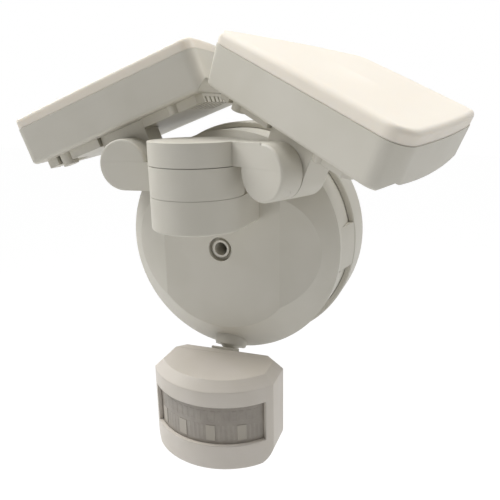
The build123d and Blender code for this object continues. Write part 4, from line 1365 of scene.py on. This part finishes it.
@dataclass(frozen=True)
class PhotoCamera:
    """Camera at the photograph's place and angle, fitted to its edges."""
    place: Triple = (0.11955, -0.31760, 0.07725)
    ahead: Triple = (-0.35585681, 0.89605216, -0.26543635)
    right: Triple = (0.93089329, 0.36493834, -0.01605252)
    above: Triple = (-0.082484, 0.25280532, 0.96399474)
    lens: float = 39.05
    sensor_width: float = 36.0
    nearest: float = 0.01

    def build(self) -> bpy.types.Object:
        """Sets the camera up.

        Returns:
            The camera.
        """
        data = bpy.data.cameras.new("photo_camera")
        data.sensor_width = self.sensor_width
        data.lens = self.lens
        data.clip_start = self.nearest
        camera = bpy.data.objects.new("photo_camera", data)
        bpy.context.collection.objects.link(camera)
        turn = Matrix((self.right, self.above, -Vector(self.ahead))).transposed().to_4x4()
        camera.matrix_world = Matrix.Translation(self.place) @ turn
        bpy.context.scene.camera = camera
        return camera


@dataclass
class Studio:
    """Floor, soft lamps, white surroundings and the camera of the photograph."""
    floor_z: float = -0.62
    floor_side: float = 14
    floor_pale: Colour = (0.86, 0.86, 0.86)
    floor_worn: Colour = (0.8, 0.8, 0.8)
    speck_scale: float = 0.02
    speck_share: float = 0.2
    floor_light: float = 1.12
    floor_share: float = 0.86
    sky_power: float = 0.26
    lamps: tuple[SoftLamp, ...] = (
        SoftLamp("left", (-0.775, -0.128, 0.778), 9.9),
        SoftLamp("top", (0.0, -0.156, 1.096), 4.5),
        SoftLamp("right_back", (0.596, 0.440, 0.778), 4.75),
        SoftLamp("left_back", (-0.596, 0.440, 0.778), 4.2),
        SoftLamp("low_left", (-0.705, -0.765, -0.465), 3.1),
        SoftLamp("low_right", (0.705, -0.765, -0.465), 1.1),
        SoftLamp("right", (1.06, -0.20, -0.19), 1.3),
    )

    def build(self) -> None:
        """Sets the whole studio up."""
        self.floor()
        self.world()
        for lamp in self.lamps:
            lamp.build()
        PhotoCamera().build()
        scene = bpy.context.scene
        scene.view_settings.view_transform = "Standard"

    def floor(self) -> bpy.types.Object:
        """Plain pale floor well below the light, lifted to white where it is seen.

        Returns:
            The floor.
        """
        Bench.clear_hands()
        bpy.ops.mesh.primitive_plane_add(size=self.floor_side, location=(0, 0, self.floor_z))
        floor = bpy.context.object
        Bench.settle(floor)
        floor.name = "studio_floor"
        graph = Graph.of_material("studio_floor")
        speck = graph.noise(graph.place(), self.speck_scale, detail=2.0)
        tone = graph.blend(speck * self.speck_share, self.floor_pale, self.floor_worn)
        matt = graph.add("ShaderNodeBsdfDiffuse", {}, {"Color": tone})
        white = graph.add("ShaderNodeEmission", {},
                          {"Color": (1, 1, 1, 1), "Strength": self.floor_light})
        rays = graph.add("ShaderNodeLightPath")
        seen = (graph.out(rays, "Is Camera Ray") + graph.out(rays, "Is Glossy Ray")
                + graph.out(rays, "Is Transmission Ray")).clipped()
        mixed = graph.add("ShaderNodeMixShader", {},
                          {0: seen * self.floor_share, 1: graph.out(matt), 2: graph.out(white)})
        floor.data.materials.append(graph.end(graph.out(mixed)))
        return floor

    def world(self) -> None:
        """White surroundings that light the object softly and are white where they are seen."""
        graph = Graph(bpy.data.worlds.new("studio_world"))
        rays = graph.add("ShaderNodeLightPath")
        seen = (graph.out(rays, "Is Camera Ray") + graph.out(rays, "Is Transmission Ray")).clipped()
        strength = self.sky_power + (1.0 - self.sky_power) * seen
        sky = graph.add("ShaderNodeBackground", {},
                        {"Color": (1.0, 1.0, 1.0, 1.0), "Strength": strength})
        bpy.context.scene.world = graph.end(graph.out(sky))


def dress_frame(palette: Palette) -> None:
    """Gives each CAD node the finish of its slot in the record.

    Args:
        palette: the finishes.
    """
    for entry in frame["record"]["subparts"]:
        palette.dress(frame["nodes"][entry["node"]], entry["material_slot"])
        log.info("dressed %s as %s", entry["node"], entry["material_slot"])


def main() -> None:
    """Builds the studio and every piece in order."""
    logging.basicConfig(level=logging.INFO, format="%(name)s: %(message)s")
    Studio().build()
    palette = Palette()
    dress_frame(palette)
    Housing(palette).build()
    for side in Side:
        Arm(palette, side).build()
    SensorHead(palette).build()
    Bench.clear_hands()


if __name__ == "__main__":
    main()
